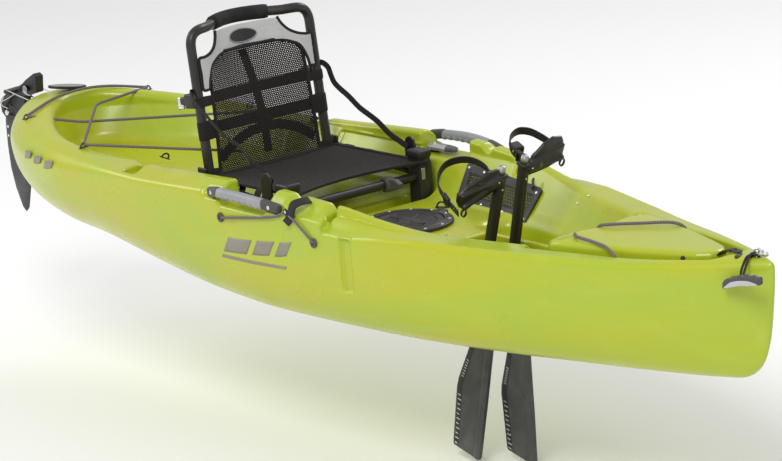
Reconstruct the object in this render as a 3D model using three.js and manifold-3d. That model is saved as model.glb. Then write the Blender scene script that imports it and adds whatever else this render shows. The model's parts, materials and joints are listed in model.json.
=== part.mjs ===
// A 2.92 m sit-on-top pedal kayak: hollow moulded hull, folding mesh seat, twin-fin pedal drive, kick-up rudder.
// Millimetres. +X is the bow, +Y is port, +Z is up. The origin is on the keel line at half length.
import * as THREE from "three";
import { mergeVertices } from "three/addons/utils/BufferGeometryUtils.js";
import Module from "manifold-3d";

const wasm = await Module();
wasm.setup();

// ---- Driving dimensions ----
const HULL_WALL = 6;
const FLOOR_Z = 198; // cockpit floor
const CARGO_FLOOR_Z = 215;
const FOOTWELL_Z = 105;
const GUNWALE = 75; // width of the deck strip beside the cockpit
const WALL_SLOPE = 0.66; // how far the cockpit wall leans in, per mm of depth
const FLAT_KEEL = 0.97; // sections stay level where the cosine of their angle is above this
const GAP = 0.4; // clearance between touching pieces

const HATCH_X = 140; // round hatch in the cockpit floor
const HATCH_RADIUS = 118;

const LID_AFT = 845; // bow hatch lid
const LID_FORE = 1285;
const BOW_RECESS_Z = 262;

const AXLE_X = 470; // crank axle of the pedal drive
const AXLE_Z = 85;
const CRANK_LENGTH = 318;
const CRANK_Y = 46;
const STROKE_CENTRE = 16.25; // forward lean of both cranks when the pedals are level, degrees
const STROKE_REST = 1.75; // starboard crank ahead of the stroke centre, degrees
const SHAFT_Z = -18; // the fore-and-aft shaft that carries both fins
const SHAFT_RADIUS = 6;
const AXLE_RADIUS = 8;
const FIN_SPAN = 335;
const FIN_MAST_RADIUS = 4.5;

const SEAT_HINGE = { x: -414, z: 294 };
const SEAT_HALF_WIDTH = 195;
const BACK_HEIGHT = 368;
const BACK_RECLINE = 6.5; // degrees
const BACK_BOW = 72; // how far the middle of the back's top bar bows aft
const SEAT_RAIL_Y = 225;
const SEAT_TUBE = { x: -61, z: 250, radius: 12 }; // the cross tube at the front of the seat
const STRAP_Y = 222; // the seat's recline straps

const RUDDER_PIN_X = -1484;
const BLADE_PIVOT = { x: -1590, z: 262 };

const HANDLE = { aft: -162, fore: 74, y: 372, z: 313 };
const HANDLE_CORE = 5; // radius of the strap inside each carry grip
const GRIP_RADIUS = 11;
const LEDGE_Z = 284;
const POST_FOOT_Z = 162;
const STEERING = { x: -125, y: 322, z: 292, length: 92 };

const SIDES = [
  ["port", 1],
  ["stbd", -1],
];

// ---- Materials ----
const finish = (color, roughness, metalness = 0) => ({ color, roughness, metalness });
const LIME = finish(0xb9c832, 0.35);
const BLACK = finish(0x1b1918, 0.5);
const RUBBER = finish(0x2a2624, 0.8);
const GREY = finish(0x8d8d90, 0.5);
const DARK_GREY = finish(0x54504e, 0.55);
const CORD = finish(0x77686f, 0.9);
const MESH = finish(0x201d1b, 0.95);
const STEEL = finish(0xc9cacb, 0.3, 0.9);

const kayak = new THREE.Group();
kayak.name = "kayak";

// ---- Solids ----
function solid(geometry, matrix = new THREE.Matrix4()) {
  const flat = new THREE.BufferGeometry();
  flat.setAttribute("position", geometry.getAttribute("position").clone());
  if (geometry.index) flat.setIndex(geometry.index.clone());
  flat.applyMatrix4(matrix);
  const merged = mergeVertices(flat, 1e-4);
  return new wasm.Manifold(
    new wasm.Mesh({
      numProp: 3,
      vertProperties: merged.attributes.position.array,
      triVerts: new Uint32Array(merged.index.array),
    }),
  );
}

function join(...solids) {
  return solids.reduce((all, next) => all.add(next));
}

function cut(body, ...tools) {
  return tools.reduce((rest, tool) => rest.subtract(tool), body);
}

// Names a finished solid and adds it to the kayak.
function piece(name, body, look) {
  const mesh = body.getMesh();
  const geometry = new THREE.BufferGeometry();
  geometry.setAttribute("position", new THREE.BufferAttribute(mesh.vertProperties, 3));
  geometry.setIndex(new THREE.BufferAttribute(mesh.triVerts, 1));
  geometry.computeVertexNormals();
  const made = new THREE.Mesh(geometry, new THREE.MeshStandardMaterial(look));
  made.name = name;
  kayak.add(made);
}

const move = (x, y, z) => new THREE.Matrix4().makeTranslation(x, y, z);

function block(x0, x1, y0, y1, z0, z1) {
  const box = new THREE.BoxGeometry(x1 - x0, y1 - y0, z1 - z0);
  return solid(box, move((x0 + x1) / 2, (y0 + y1) / 2, (z0 + z1) / 2));
}

// A round bar between two points.
function rod(from, to, radius, sides = 12) {
  const start = new THREE.Vector3(...from);
  const end = new THREE.Vector3(...to);
  const direction = end.clone().sub(start);
  const bar = new THREE.CylinderGeometry(radius, radius, direction.length(), sides);
  const turn = new THREE.Quaternion().setFromUnitVectors(
    new THREE.Vector3(0, 1, 0),
    direction.clone().normalize(),
  );
  const centre = start.add(end).multiplyScalar(0.5);
  return solid(bar, new THREE.Matrix4().compose(centre, turn, new THREE.Vector3(1, 1, 1)));
}

function ball(centre, radius, sides = 10) {
  return solid(new THREE.SphereGeometry(radius, sides, Math.ceil(sides / 2)), move(...centre));
}

// A cord or tube that runs straight from point to point, with round corners.
function bar(points, radius, sides = 6) {
  const runs = points.slice(1).map((point, i) => rod(points[i], point, radius, sides));
  const corners = points.slice(1, -1).map((point) => ball(point, radius * 1.02, sides));
  return join(...runs, ...corners);
}

// A tube swept along a smooth curve.
function sweptTube(points, radius, steps, sides = 10) {
  const path = new THREE.CatmullRomCurve3(points.map((point) => new THREE.Vector3(...point)));
  const circle = new THREE.Shape();
  circle.absarc(0, 0, radius, 0, 2 * Math.PI);
  const options = { steps, extrudePath: path, curveSegments: sides };
  return solid(new THREE.ExtrudeGeometry(circle, options));
}

// A flat plate cut to an outline in the X-Z plane, centred on y.
function sidePlate(outline, y, thickness) {
  const shape = new THREE.Shape(outline.map(([x, z]) => new THREE.Vector2(x, z)));
  const plate = new THREE.ExtrudeGeometry(shape, { depth: thickness, bevelEnabled: false });
  const stand = new THREE.Matrix4().makeRotationX(Math.PI / 2);
  return solid(plate, move(0, y + thickness / 2, 0).multiply(stand));
}

// A flat plate cut to an outline in the X-Y plane, from z upward.
function floorPlate(outline, z, thickness) {
  const shape = new THREE.Shape(outline.map(([x, y]) => new THREE.Vector2(x, y)));
  const plate = new THREE.ExtrudeGeometry(shape, { depth: thickness, bevelEnabled: false });
  return solid(plate, move(0, 0, z));
}

// A closed skin over a row of rings that all have the same number of points.
function loft(rings) {
  const count = rings[0].length;
  const points = rings.flat();
  const faces = [];
  for (let ring = 0; ring < rings.length - 1; ring++) {
    for (let i = 0; i < count; i++) {
      const a = ring * count + i;
      const b = ring * count + ((i + 1) % count);
      faces.push(a, b, b + count, a, b + count, a + count);
    }
  }
  const centreOf = (ring) => {
    const sum = ring.reduce((s, p) => [s[0] + p[0], s[1] + p[1], s[2] + p[2]], [0, 0, 0]);
    return sum.map((value) => value / count);
  };
  const first = points.length;
  const last = first + 1;
  const lastRing = (rings.length - 1) * count;
  for (let i = 0; i < count; i++) {
    const next = (i + 1) % count;
    faces.push(first, next, i);
    faces.push(last, lastRing + i, lastRing + next);
  }
  const corners = [...points, centreOf(rings[0]), centreOf(rings[rings.length - 1])];
  const geometry = new THREE.BufferGeometry();
  geometry.setAttribute("position", new THREE.Float32BufferAttribute(corners.flat(), 3));
  geometry.setIndex(faces);
  const made = solid(geometry);
  if (made.volume() > 0) return made;
  return solid(geometry.setIndex(faces.reverse()));
}

// ---- Hull lines ----
// One row per station: x, half breadth, keel height, sheer height, deck crown, fullness of the section.
const STATIONS = [
  [-1460, 40, 240, 296, 8, 2.2],
  [-1440, 70, 170, 305, 22, 2.2],
  [-1350, 174, 110, 311, 45, 2.6],
  [-1200, 264, 82, 313, 50, 2.8],
  [-1000, 328, 56, 311, 36, 2.9],
  [-785, 350, 42, 306, 22, 3.0],
  [-545, 362, 19, 302, 12, 3.5],
  [-324, 370, 4, 312, 10, 4.3],
  [-120, 374, 0, 323, 5, 5.2],
  [0, 375, 0, 326, 4, 5.5],
  [250, 365, 0, 312, 3, 5.3],
  [500, 338, 0, 290, 3, 5.0],
  [774, 270, 0, 285, 5, 4.7],
  [947, 218, 1, 285, 8, 4.2],
  [1127, 165, 3, 288, 12, 3.5],
  [1300, 92, 9, 297, 14, 2.6],
  [1380, 50, 30, 302, 12, 2.2],
  [1430, 22, 105, 306, 6, 2.0],
  [1460, 6, 270, 308, 1, 2.0],
];

// The value of one station column at x, on a smooth curve through the rows.
function station(x, column) {
  const last = STATIONS.length - 2;
  const found = STATIONS.findIndex((row, i) => i <= last && x <= STATIONS[i + 1][0]);
  const i = found < 0 ? last : found;
  const row = (k) => STATIONS[Math.min(Math.max(k, 0), last + 1)];
  const slope = (k) => {
    const before = row(k - 1);
    const after = row(k + 1);
    return (after[column] - before[column]) / (after[0] - before[0]);
  };
  const [x0, x1] = [row(i)[0], row(i + 1)[0]];
  const span = x1 - x0;
  const t = Math.min(Math.max((x - x0) / span, 0), 1);
  const start = row(i)[column];
  const end = row(i + 1)[column];
  const a = 2 * t ** 3 - 3 * t ** 2 + 1;
  const b = t ** 3 - 2 * t ** 2 + t;
  const c = t ** 3 - t ** 2;
  return a * start + (1 - a) * end + b * span * slope(i) + c * span * slope(i + 1);
}

const halfBreadth = (x) => station(x, 1);
const sheer = (x) => station(x, 3);

// Height of the deck before the wells are cut.
function deck(x, y) {
  const across = Math.min(Math.abs(y) / halfBreadth(x), 1);
  return sheer(x) + station(x, 4) * (1 - across ** 2);
}

const power = (value, exponent) => Math.sign(value) * Math.abs(value) ** exponent;

// One closed cross-section of the hull at x, shrunk by inset.
function section(x, inset, count) {
  const full = station(x, 5);
  const side = Math.max(halfBreadth(x) - inset, 2);
  const bottom = Math.max(station(x, 2), 0) + inset;
  const top = Math.max(sheer(x) - inset, bottom + 4);
  const crown = station(x, 4);
  const ring = [];
  for (let i = 0; i < count; i++) {
    const angle = (2 * Math.PI * i) / count;
    const across = Math.sin(angle);
    const down = Math.cos(angle);
    if (down > 0) {
      const rise = down > FLAT_KEEL ? 0 : 1 - power(down, 2 / full);
      ring.push([x, side * power(across, 2 / full), bottom + (top - bottom) * rise]);
    } else {
      const y = side * (1 - 0.06 * down ** 2) * power(across, 0.9);
      ring.push([x, y, top + crown * (1 - (y / side) ** 2)]);
    }
  }
  return ring;
}

function hullSkin(inset, steps, count) {
  const from = STATIONS[0][0] + inset;
  const to = STATIONS[STATIONS.length - 1][0] - inset * 4;
  const rings = [];
  for (let i = 0; i <= steps; i++) {
    const x = (from + to) / 2 - (Math.cos((Math.PI * i) / steps) * (to - from)) / 2;
    rings.push(section(x, inset, count));
  }
  return loft(rings);
}

// ---- Wells cut into the deck ----
// A ring at height z that keeps an inset from the hull side. A higher squareness gives blunter ends.
function wellRing(aft, fore, inset, z, grow, squareness = 8, steps = 13) {
  const middle = (aft + fore) / 2;
  const half = (fore - aft) / 2 + grow;
  const point = (i, side) => {
    const t = Math.sin(Math.PI * (i / steps - 0.5));
    const x = middle + half * t;
    const width = Math.max(halfBreadth(x) - inset(x) + grow, 4);
    return [x, side * width * (1 - Math.abs(t) ** squareness) ** (1 / 2.5), z];
  };
  const starboard = Array.from({ length: steps + 1 }, (_, i) => point(i, -1));
  const port = Array.from({ length: steps - 1 }, (_, i) => point(steps - 1 - i, 1));
  return [...starboard, ...port];
}

// A well with sloping walls from above the deck down to its floor.
function well(aft, fore, inset, floor, grow, squareness) {
  const rim = 420;
  const base = floor - grow;
  const steps = [rim, 310, base + 12, base];
  const rings = steps.map((z) => {
    const lean = Math.max(310 - z, 0) * WALL_SLOPE + (z === base ? 10 : 0);
    return wellRing(aft + lean * 0.4, fore - lean * 0.4, (x) => inset(x) + lean, z, grow, squareness);
  });
  return loft(rings.reverse());
}

function footwell(side, grow) {
  const inner = 92 - grow;
  const rings = [FLOOR_Z + 20, FOOTWELL_Z - grow].map((z, k) => {
    const taper = k * 14;
    const outer = (x) => halfBreadth(x) - 158 + grow - taper;
    const fore = 760 + grow - taper;
    const aft = 300 - grow + taper;
    const wide = [aft, (2 * aft + fore) / 3, (aft + 2 * fore) / 3, fore];
    const near = wide.map((x) => [x, side * inner, z]);
    const far = wide.map((x) => [x, side * Math.max(outer(x), inner + 20), z]).reverse();
    const ring = [...near, ...far];
    return side > 0 ? ring : ring.reverse();
  });
  return loft(rings.reverse());
}

function driveWell(grow) {
  const upper = block(372 - grow, 705 + grow, -70 - grow, 70 + grow, 40 - grow, FLOOR_Z + 60);
  const slot = block(388 - grow, 672 + grow, -34 - grow, 34 + grow, -60, 60);
  return join(upper, slot);
}

function bowRecess(grow) {
  const inset = (x) => 62 - ((x - LID_AFT) / (LID_FORE - LID_AFT)) * 30;
  const top = wellRing(800, 1328, inset, 420, grow);
  const bottom = wellRing(806, 1320, (x) => inset(x) + 8, BOW_RECESS_Z - grow, grow);
  return loft([bottom, top]);
}

// Every well, grown outward by the wall thickness where the hollow must stay clear of it.
function wells(grow) {
  const cockpit = well(-650, 862, () => GUNWALE, FLOOR_Z, grow);
  const cargo = well(-1266, -420, () => 88, CARGO_FLOOR_Z, grow, 2.6);
  return [
    cockpit,
    cargo,
    footwell(1, grow),
    footwell(-1, grow),
    driveWell(grow),
    bowRecess(grow),
    ...SIDES.map(([, side]) => handleRecess(side, grow)),
    ...SIDES.map(([, side]) => postSocket(side, grow)),
  ];
}

// A box cutter on one side of the hull, given by its distance from the centreline.
function sideBlock(side, x0, x1, near, far, z0, z1) {
  return block(x0, x1, Math.min(side * near, side * far), Math.max(side * near, side * far), z0, z1);
}

// The scoop in the gunwale that the carry handle spans, and the ledge inboard of it for the steering lever.
function handleRecess(side, grow) {
  const { aft, fore, y } = HANDLE;
  const scoop = sideBlock(side, aft - 40 - grow, fore + 40 + grow, y - 20 - grow, y + 40, 296 - grow, 400);
  const ledge = sideBlock(side, -150 - grow, 40 + grow, y - 105, y + 40, LEDGE_Z - grow, 400);
  return join(scoop, ledge);
}

// The socket in the cockpit side that holds a seat post.
function postSocket(side, grow) {
  const { x } = SEAT_TUBE;
  return sideBlock(side, x - 28 - grow, x + 28 + grow, 150, 258 + grow, POST_FOOT_Z - grow, 400);
}

function hullShell() {
  const outside = hullSkin(0, 40, 34);
  const hollow = cut(hullSkin(HULL_WALL, 24, 20), ...wells(HULL_WALL));
  const bowOpening = loft(
    [BOW_RECESS_Z - 60, BOW_RECESS_Z + 20].map((z) => wellRing(918, 1240, (x) => 88 - (x - 915) * 0.09, z, 0)),
  );
  const hatchOpening = rod([HATCH_X, 0, FLOOR_Z - 60], [HATCH_X, 0, FLOOR_Z + 20], HATCH_RADIUS - 18, 32);
  return cut(outside, ...wells(0), hollow, bowOpening, hatchOpening);
}
piece("hull_shell", hullShell(), LIME);

// A round plug screwed into the stern quarter.
const PLUG = { x: -1420, y: -108, z: 272 };

function drainPlug() {
  const { x, y, z } = PLUG;
  return join(rod([x, y, z], [x - 5, y - 5, z], 11, 16), rod([x - 5, y - 5, z], [x - 10, y - 10, z], 6, 10));
}
piece("drain_plug", drainPlug(), BLACK);

// ---- Bow hatch ----
// Outline of the lid seen from above: two lobes at the aft edge, a narrow round nose forward.
function lidOutline(inset) {
  const half = [
    [LID_AFT + 22, 0],
    [LID_AFT + 4, 50],
    [LID_AFT - 4, 120],
    [LID_AFT + 8, 146],
    [LID_AFT + 60, 150],
    [1000, 122],
    [1120, 96],
    [1230, 62],
    [LID_FORE - 12, 34],
    [LID_FORE, 8],
  ];
  const shrink = ([x, y]) => [x + (x < 1000 ? inset : -inset), Math.max(y - inset, 0)];
  const starboard = half.map(shrink).map(([x, y]) => [x, -y]);
  const port = half.map(shrink).slice(1).reverse();
  return [...starboard, ...port];
}

function bowHatchLid() {
  const levels = [
    [BOW_RECESS_Z + 14, 2],
    [BOW_RECESS_Z + 34, 0],
    [BOW_RECESS_Z + 42, 6],
    [BOW_RECESS_Z + 47, 34],
  ];
  return loft(levels.map(([z, inset]) => lidOutline(inset).map(([x, y]) => [x, y, z])));
}
piece("bow_hatch_lid", bowHatchLid(), LIME);

function bowHatchGasket() {
  const z = BOW_RECESS_Z + GAP;
  const outside = wellRing(906, 1252, (x) => 76 - (x - 915) * 0.09, z, 0);
  const inside = wellRing(914, 1244, (x) => 84 - (x - 915) * 0.09, z, 0);
  const lift = (ring, dz) => ring.map(([x, y]) => [x, y, z + dz]);
  return cut(loft([outside, lift(outside, 12)]), loft([lift(inside, -5), lift(inside, 20)]));
}
piece("bow_hatch_gasket", bowHatchGasket(), RUBBER);

// The strap hinge: a flexible tongue screwed to the deck just ahead of the lid.
piece("hatch_hinge_strap", block(1304, 1362, -16, 16, 314, 318), BLACK);

function hatchBungee(side) {
  const points = [
    [LID_AFT + 10, side * 12, 314],
    [LID_AFT + 60, side * 24, 314.5],
    [1075, side * 66, 314.5],
    [1085, side * 105, 312],
    [1092, side * 117, 300],
  ];
  return bar(points, 4);
}
SIDES.forEach(([name, side]) => piece(`hatch_bungee_${name}`, hatchBungee(side), CORD));

// ---- Round hatch in the cockpit floor ----
function disc(x, y, z0, z1, radius, sides = 28) {
  return rod([x, y, z0], [x, y, z1], radius, sides);
}

piece(
  "centre_hatch_ring",
  cut(
    join(
      disc(HATCH_X, 0, FLOOR_Z + GAP, FLOOR_Z + 7, HATCH_RADIUS),
      disc(HATCH_X, 0, FLOOR_Z - 12, FLOOR_Z + 1, HATCH_RADIUS - 19),
    ),
    disc(HATCH_X, 0, FLOOR_Z - 1, FLOOR_Z + 9, 94),
    disc(HATCH_X, 0, FLOOR_Z - 20, FLOOR_Z + 9, 84),
  ),
  BLACK,
);
piece(
  "centre_hatch_seal",
  cut(disc(HATCH_X, 0, FLOOR_Z - 0.6, FLOOR_Z + 1.4, 92), disc(HATCH_X, 0, FLOOR_Z - 3, FLOOR_Z + 4, 87)),
  RUBBER,
);
piece(
  "centre_hatch_cover",
  join(
    disc(HATCH_X, 0, FLOOR_Z + 2, FLOOR_Z + 9, 93),
    disc(HATCH_X, 0, FLOOR_Z - 8, FLOOR_Z + 3, 82),
    block(HATCH_X - 60, HATCH_X + 60, -7, 7, FLOOR_Z + 8, FLOOR_Z + 16),
  ),
  BLACK,
);

// ---- Pedal drive ----
const radians = (degrees) => (degrees * Math.PI) / 180;

function driveSpine() {
  const body = block(398, 662, -26, 26, 4, 150);
  const lugs = [
    [404, 426],
    [464, 551],
    [589, 656],
  ].map(([x0, x1]) => block(x0, x1, -9, 9, SHAFT_Z - 10, 6));
  const axleBore = rod([AXLE_X, -40, AXLE_Z], [AXLE_X, 40, AXLE_Z], AXLE_RADIUS + GAP, 16);
  const shaftBore = rod([390, 0, SHAFT_Z], [670, 0, SHAFT_Z], SHAFT_RADIUS + GAP, 14);
  const slope = [
    [395, 110],
    [430, 151],
    [395, 151],
  ];
  return cut(join(body, ...lugs), axleBore, shaftBore, sidePlate(slope, 0, 60));
}
piece("drive_spine", driveSpine(), BLACK);
piece("crank_axle", rod([AXLE_X, -64, AXLE_Z], [AXLE_X, 64, AXLE_Z], AXLE_RADIUS, 16), STEEL);
piece("fin_shaft", rod([400, 0, SHAFT_Z], [662, 0, SHAFT_Z], SHAFT_RADIUS, 12), STEEL);

// The quarter-turn lock that holds the drive down in its well.
function driveLock(side) {
  const hub = rod([640, side * 27, 132], [640, side * 40, 132], 9, 14);
  const arm = block(636, 644, Math.min(side * 33, side * 40), Math.max(side * 33, side * 40), 136, 190);
  return join(hub, arm);
}
SIDES.forEach(([name, side]) => piece(`drive_lock_${name}`, driveLock(side), DARK_GREY));

// Where the pedal shaft of one crank sits.
function crankEnd(side) {
  const lean = radians(STROKE_CENTRE - side * STROKE_REST);
  return [AXLE_X + CRANK_LENGTH * Math.sin(lean), AXLE_Z + CRANK_LENGTH * Math.cos(lean)];
}

function crank(side) {
  const [x, z] = crankEnd(side);
  const y = side * CRANK_Y;
  const drum = rod([AXLE_X, side * 29, AXLE_Z], [AXLE_X, side * 58, AXLE_Z], 34, 24);
  const direction = new THREE.Vector3(x - AXLE_X, 0, z - AXLE_Z).normalize();
  const tip = [x + direction.x * 16, y, z + direction.z * 16];
  const tube = rod([AXLE_X, y, AXLE_Z], tip, 13, 14);
  const cap = rod(tip, [tip[0] + direction.x * 10, y, tip[2] + direction.z * 10], 9, 12);
  const shaft = rod([x, y, z], [x, side * 176, z], 5, 12);
  const bore = rod([AXLE_X, -70, AXLE_Z], [AXLE_X, 70, AXLE_Z], AXLE_RADIUS + GAP, 16);
  return cut(join(drum, tube, cap, shaft), bore);
}
SIDES.forEach(([name, side]) => piece(`crank_${name}`, crank(side), BLACK));

// A pedal pad on the crank's side shaft, leaning forward at the top, with a slotted strap over the foot.
const PAD_LEAN = radians(28);

function pedalFrame(side) {
  const [x, z] = crankEnd(side);
  return move(x, side * 118, z).multiply(new THREE.Matrix4().makeRotationY(PAD_LEAN));
}

function pedalPad(side) {
  const shape = new THREE.Shape();
  shape.moveTo(-52, -22);
  shape.lineTo(46, -26);
  shape.lineTo(54, -12);
  shape.lineTo(54, 38);
  shape.lineTo(40, 50);
  shape.lineTo(-40, 50);
  shape.lineTo(-54, 36);
  shape.lineTo(-54, -12);
  shape.closePath();
  const plate = new THREE.ExtrudeGeometry(shape, { depth: 18, bevelEnabled: false });
  const upright = new THREE.Matrix4().makeRotationX(Math.PI / 2);
  upright.premultiply(new THREE.Matrix4().makeRotationZ(side * (Math.PI / 2)));
  const placed = pedalFrame(side).multiply(move(-9 * side, 0, 0)).multiply(upright);
  const [x, z] = crankEnd(side);
  const bore = rod([x, side * 40, z], [x, side * 190, z], 5 + GAP, 12);
  return cut(solid(plate, placed), bore);
}
SIDES.forEach(([name, side]) => piece(`pedal_${name}`, pedalPad(side), BLACK));

function pedalStrap(side) {
  const frame = pedalFrame(side);
  const points = [];
  const steps = 10;
  for (let i = 0; i <= steps; i++) {
    const angle = (Math.PI * i) / steps;
    const point = new THREE.Vector3(-16 - 66 * Math.sin(angle), -48 * Math.cos(angle), 22 + 24 * Math.sin(angle));
    points.push(point.applyMatrix4(frame));
  }
  const path = new THREE.CatmullRomCurve3(points);
  const band = new THREE.Shape();
  band.moveTo(-1.5, -13);
  band.lineTo(1.5, -13);
  band.lineTo(1.5, 13);
  band.lineTo(-1.5, 13);
  band.closePath();
  return solid(new THREE.ExtrudeGeometry(band, { steps: 16, extrudePath: path }));
}
SIDES.forEach(([name, side]) => piece(`pedal_strap_${name}`, pedalStrap(side), RUBBER));

// Each fin: where its hub sits on the shaft, and how far it hangs to starboard or port of straight down.
const FINS = [
  ["rear", 445, -13],
  ["front", 570, 0],
];

function finFrame(x, hang) {
  return move(x, 0, SHAFT_Z).multiply(new THREE.Matrix4().makeRotationX(radians(hang)));
}

function along(frame, local) {
  return new THREE.Vector3(...local).applyMatrix4(frame).toArray();
}

// A fin mast: a hub on the fore-and-aft shaft and a rod down the leading edge of the fin.
function finMast(x, hang) {
  const frame = finFrame(x, hang);
  const hub = rod(along(frame, [-16, 0, 0]), along(frame, [16, 0, 0]), 12, 16);
  const neck = rod(along(frame, [0, 0, 0]), along(frame, [0, 0, -34]), 9, 12);
  const mast = rod(along(frame, [0, 0, -30]), along(frame, [0, 0, -FIN_SPAN + 30]), FIN_MAST_RADIUS, 12);
  const bore = rod(along(frame, [-20, 0, 0]), along(frame, [20, 0, 0]), SHAFT_RADIUS + GAP, 14);
  return cut(join(hub, neck, mast), bore);
}

// The flexible fin: straight leading edge, a knuckle part way down the trailing edge, square tip.
function finBlade(x, hang) {
  const outline = [
    [9, -38],
    [10, -FIN_SPAN + 8],
    [4, -FIN_SPAN],
    [-94, -FIN_SPAN + 22],
    [-103, -155],
    [-68, -52],
    [-54, -38],
  ];
  const frame = finFrame(x, hang);
  const shape = new THREE.Shape(outline.map(([px, pz]) => new THREE.Vector2(px, pz)));
  const bevel = { depth: 6, bevelEnabled: true, bevelThickness: 3, bevelSize: 2, bevelSegments: 1 };
  const plate = new THREE.ExtrudeGeometry(shape, bevel);
  const stand = new THREE.Matrix4().makeRotationX(Math.PI / 2);
  const blade = solid(plate, frame.clone().multiply(move(0, 3, 0)).multiply(stand));
  const bore = rod(along(frame, [0, 0, -20]), along(frame, [0, 0, -FIN_SPAN + 28]), FIN_MAST_RADIUS + GAP, 12);
  return cut(blade, bore);
}
FINS.forEach(([name, x, hang]) => {
  piece(`fin_mast_${name}`, finMast(x, hang), STEEL);
  piece(`fin_${name}`, finBlade(x, hang), DARK_GREY);
});

// ---- Rudder ----
function rudderBracket() {
  const plate = block(-1468, -1461, -26, 26, 214, 292);
  const lugs = [
    [216, 228],
    [278, 290],
  ].map(([z0, z1]) => join(block(RUDDER_PIN_X, -1464, -12, 12, z0, z1), disc(RUDDER_PIN_X, 0, z0, z1, 12, 20)));
  return cut(join(plate, ...lugs), disc(RUDDER_PIN_X, 0, 200, 320, 5 + GAP, 16));
}
piece("rudder_bracket", rudderBracket(), BLACK);
piece("rudder_pin", disc(RUDDER_PIN_X, 0, 206, 320, 5, 16), STEEL);

// The head turns on the pin; its two cheeks hold the blade and its top plate takes the steering lines.
function rudderHead() {
  const cheekOutline = [
    [-1506, 226],
    [-1506, 318],
    [-1442, 336],
    [-1438, 386],
    [-1452, 391],
    [-1496, 366],
    [-1528, 341],
    [-1572, 330],
    [-1620, 300],
    [-1630, 286],
    [-1626, 256],
    [-1600, 236],
  ];
  const cheeks = sidePlate(cheekOutline, 0, 28);
  const slot = block(-1660, -1542, -5.5, 5.5, 200, 322);
  const lug = join(disc(RUDDER_PIN_X, 0, 230, 276, 12, 20), block(-1508, RUDDER_PIN_X, -12, 12, 230, 276));
  const arms = block(-1560, -1530, -52, 52, 330, 337);
  return cut(join(cheeks, lug, arms), slot, disc(RUDDER_PIN_X, 0, 200, 330, 5 + GAP, 16), boltBore());
}

function boltBore() {
  return rod([BLADE_PIVOT.x, -30, BLADE_PIVOT.z], [BLADE_PIVOT.x, 30, BLADE_PIVOT.z], 5 + GAP, 14);
}

function rudderBlade() {
  const outline = [
    [-1562, 286],
    [-1556, 262],
    [-1548, 200],
    [-1533, 100],
    [-1532, 50],
    [-1550, -12],
    [-1564, -26],
    [-1580, -14],
    [-1606, 40],
    [-1622, 95],
    [-1628, 160],
    [-1628, 230],
    [-1616, 284],
    [-1590, 294],
  ];
  return cut(sidePlate(outline, 0, 9), boltBore());
}
piece("rudder_head", rudderHead(), BLACK);
piece("rudder_blade", rudderBlade(), DARK_GREY);
piece(
  "blade_bolt",
  rod([BLADE_PIVOT.x, -20, BLADE_PIVOT.z], [BLADE_PIVOT.x, 20, BLADE_PIVOT.z], 5, 14),
  STEEL,
);

// ---- Steering lever on the port gunwale ----
piece("steering_base", disc(STEERING.x, STEERING.y, 284 + GAP, STEERING.z - 1, 14, 20), BLACK);

function steeringLever() {
  const half = 12;
  const outline = [
    [-14, -10],
    [-14, 10],
    [-4, half + 2],
    [60, half],
    [STEERING.length - 6, 8],
    [STEERING.length, 0],
    [STEERING.length - 6, -8],
    [60, -half],
    [-4, -half - 2],
  ];
  const placed = outline.map(([x, y]) => [STEERING.x + x, STEERING.y - y]).reverse();
  return floorPlate(placed.reverse(), STEERING.z, 13);
}
piece("steering_lever", steeringLever(), STEEL);

// ---- Side handles, paddle keepers ----
// The line a carry handle follows, from its aft foot to its fore foot.
function handleLine(side, from, to) {
  const { aft, fore, y, z } = HANDLE;
  const points = [
    [aft - 14, side * (y - 6), z],
    [aft + 14, side * y, z + 4],
    [(aft + fore) / 2, side * (y + 2), z + 7],
    [fore - 24, side * y, z + 1],
    [fore + 14, side * (y - 6), z - 5],
  ];
  return points.slice(from, to);
}

function handleStrap(side) {
  const [foot, , , , toe] = handleLine(side, 0, 5);
  const feet = [foot, toe].map(([x, , z]) =>
    sideBlock(side, x - 14, x + 14, HANDLE.y - 20 + GAP, HANDLE.y + 2, z - 9, z + 9),
  );
  return join(bar(handleLine(side, 0, 5), HANDLE_CORE, 6), ...feet);
}

function handleGrip(side) {
  return cut(bar(handleLine(side, 1, 4), GRIP_RADIUS, 8), bar(handleLine(side, 0, 5), HANDLE_CORE + 1.2, 6));
}
SIDES.forEach(([name, side]) => {
  piece(`handle_strap_${name}`, handleStrap(side), BLACK);
  piece(`handle_grip_${name}`, handleGrip(side), GREY);
});

function paddleBungee(side) {
  const points = [
    [-145, side * 381, 255],
    [112, side * 381, 292],
    [214, side * 378, 238],
  ];
  const eyes = [points[0], points[2]].map(([x, y, z]) => rod([x, y - side * 3, z], [x, y + side * 3, z], 9, 16));
  return join(bar(points, 3), ...eyes);
}

function paddleHook(side) {
  const outline = [
    [118, 250],
    [136, 250],
    [142, 296],
    [124, 296],
  ];
  return sidePlate(outline, side * 389, 4);
}
SIDES.forEach(([name, side]) => {
  piece(`paddle_bungee_${name}`, paddleBungee(side), CORD);
  piece(`paddle_hook_${name}`, paddleHook(side), RUBBER);
});

// ---- Bow carry handle ----
function bowPadeye() {
  const top = deck(1395, 0) + GAP;
  const foot = block(1382, 1410, -10, 10, top, top + 4);
  const post = block(1393, 1399, -7, 7, top + 3, top + 15);
  return cut(join(foot, post), rod([1385, 0, top + 9], [1405, 0, top + 9], 3.4, 10));
}
piece("bow_padeye", bowPadeye(), STEEL);

// The toggle hangs over the starboard side of the bow, its fore end a little higher.
const TOGGLE = { x: 1428, y: -74, z: 268, half: 66, rise: 14 };
const CORD_BEND = [1412, -42, 300]; // where the cord leaves the deck and runs down to the toggle

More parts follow.
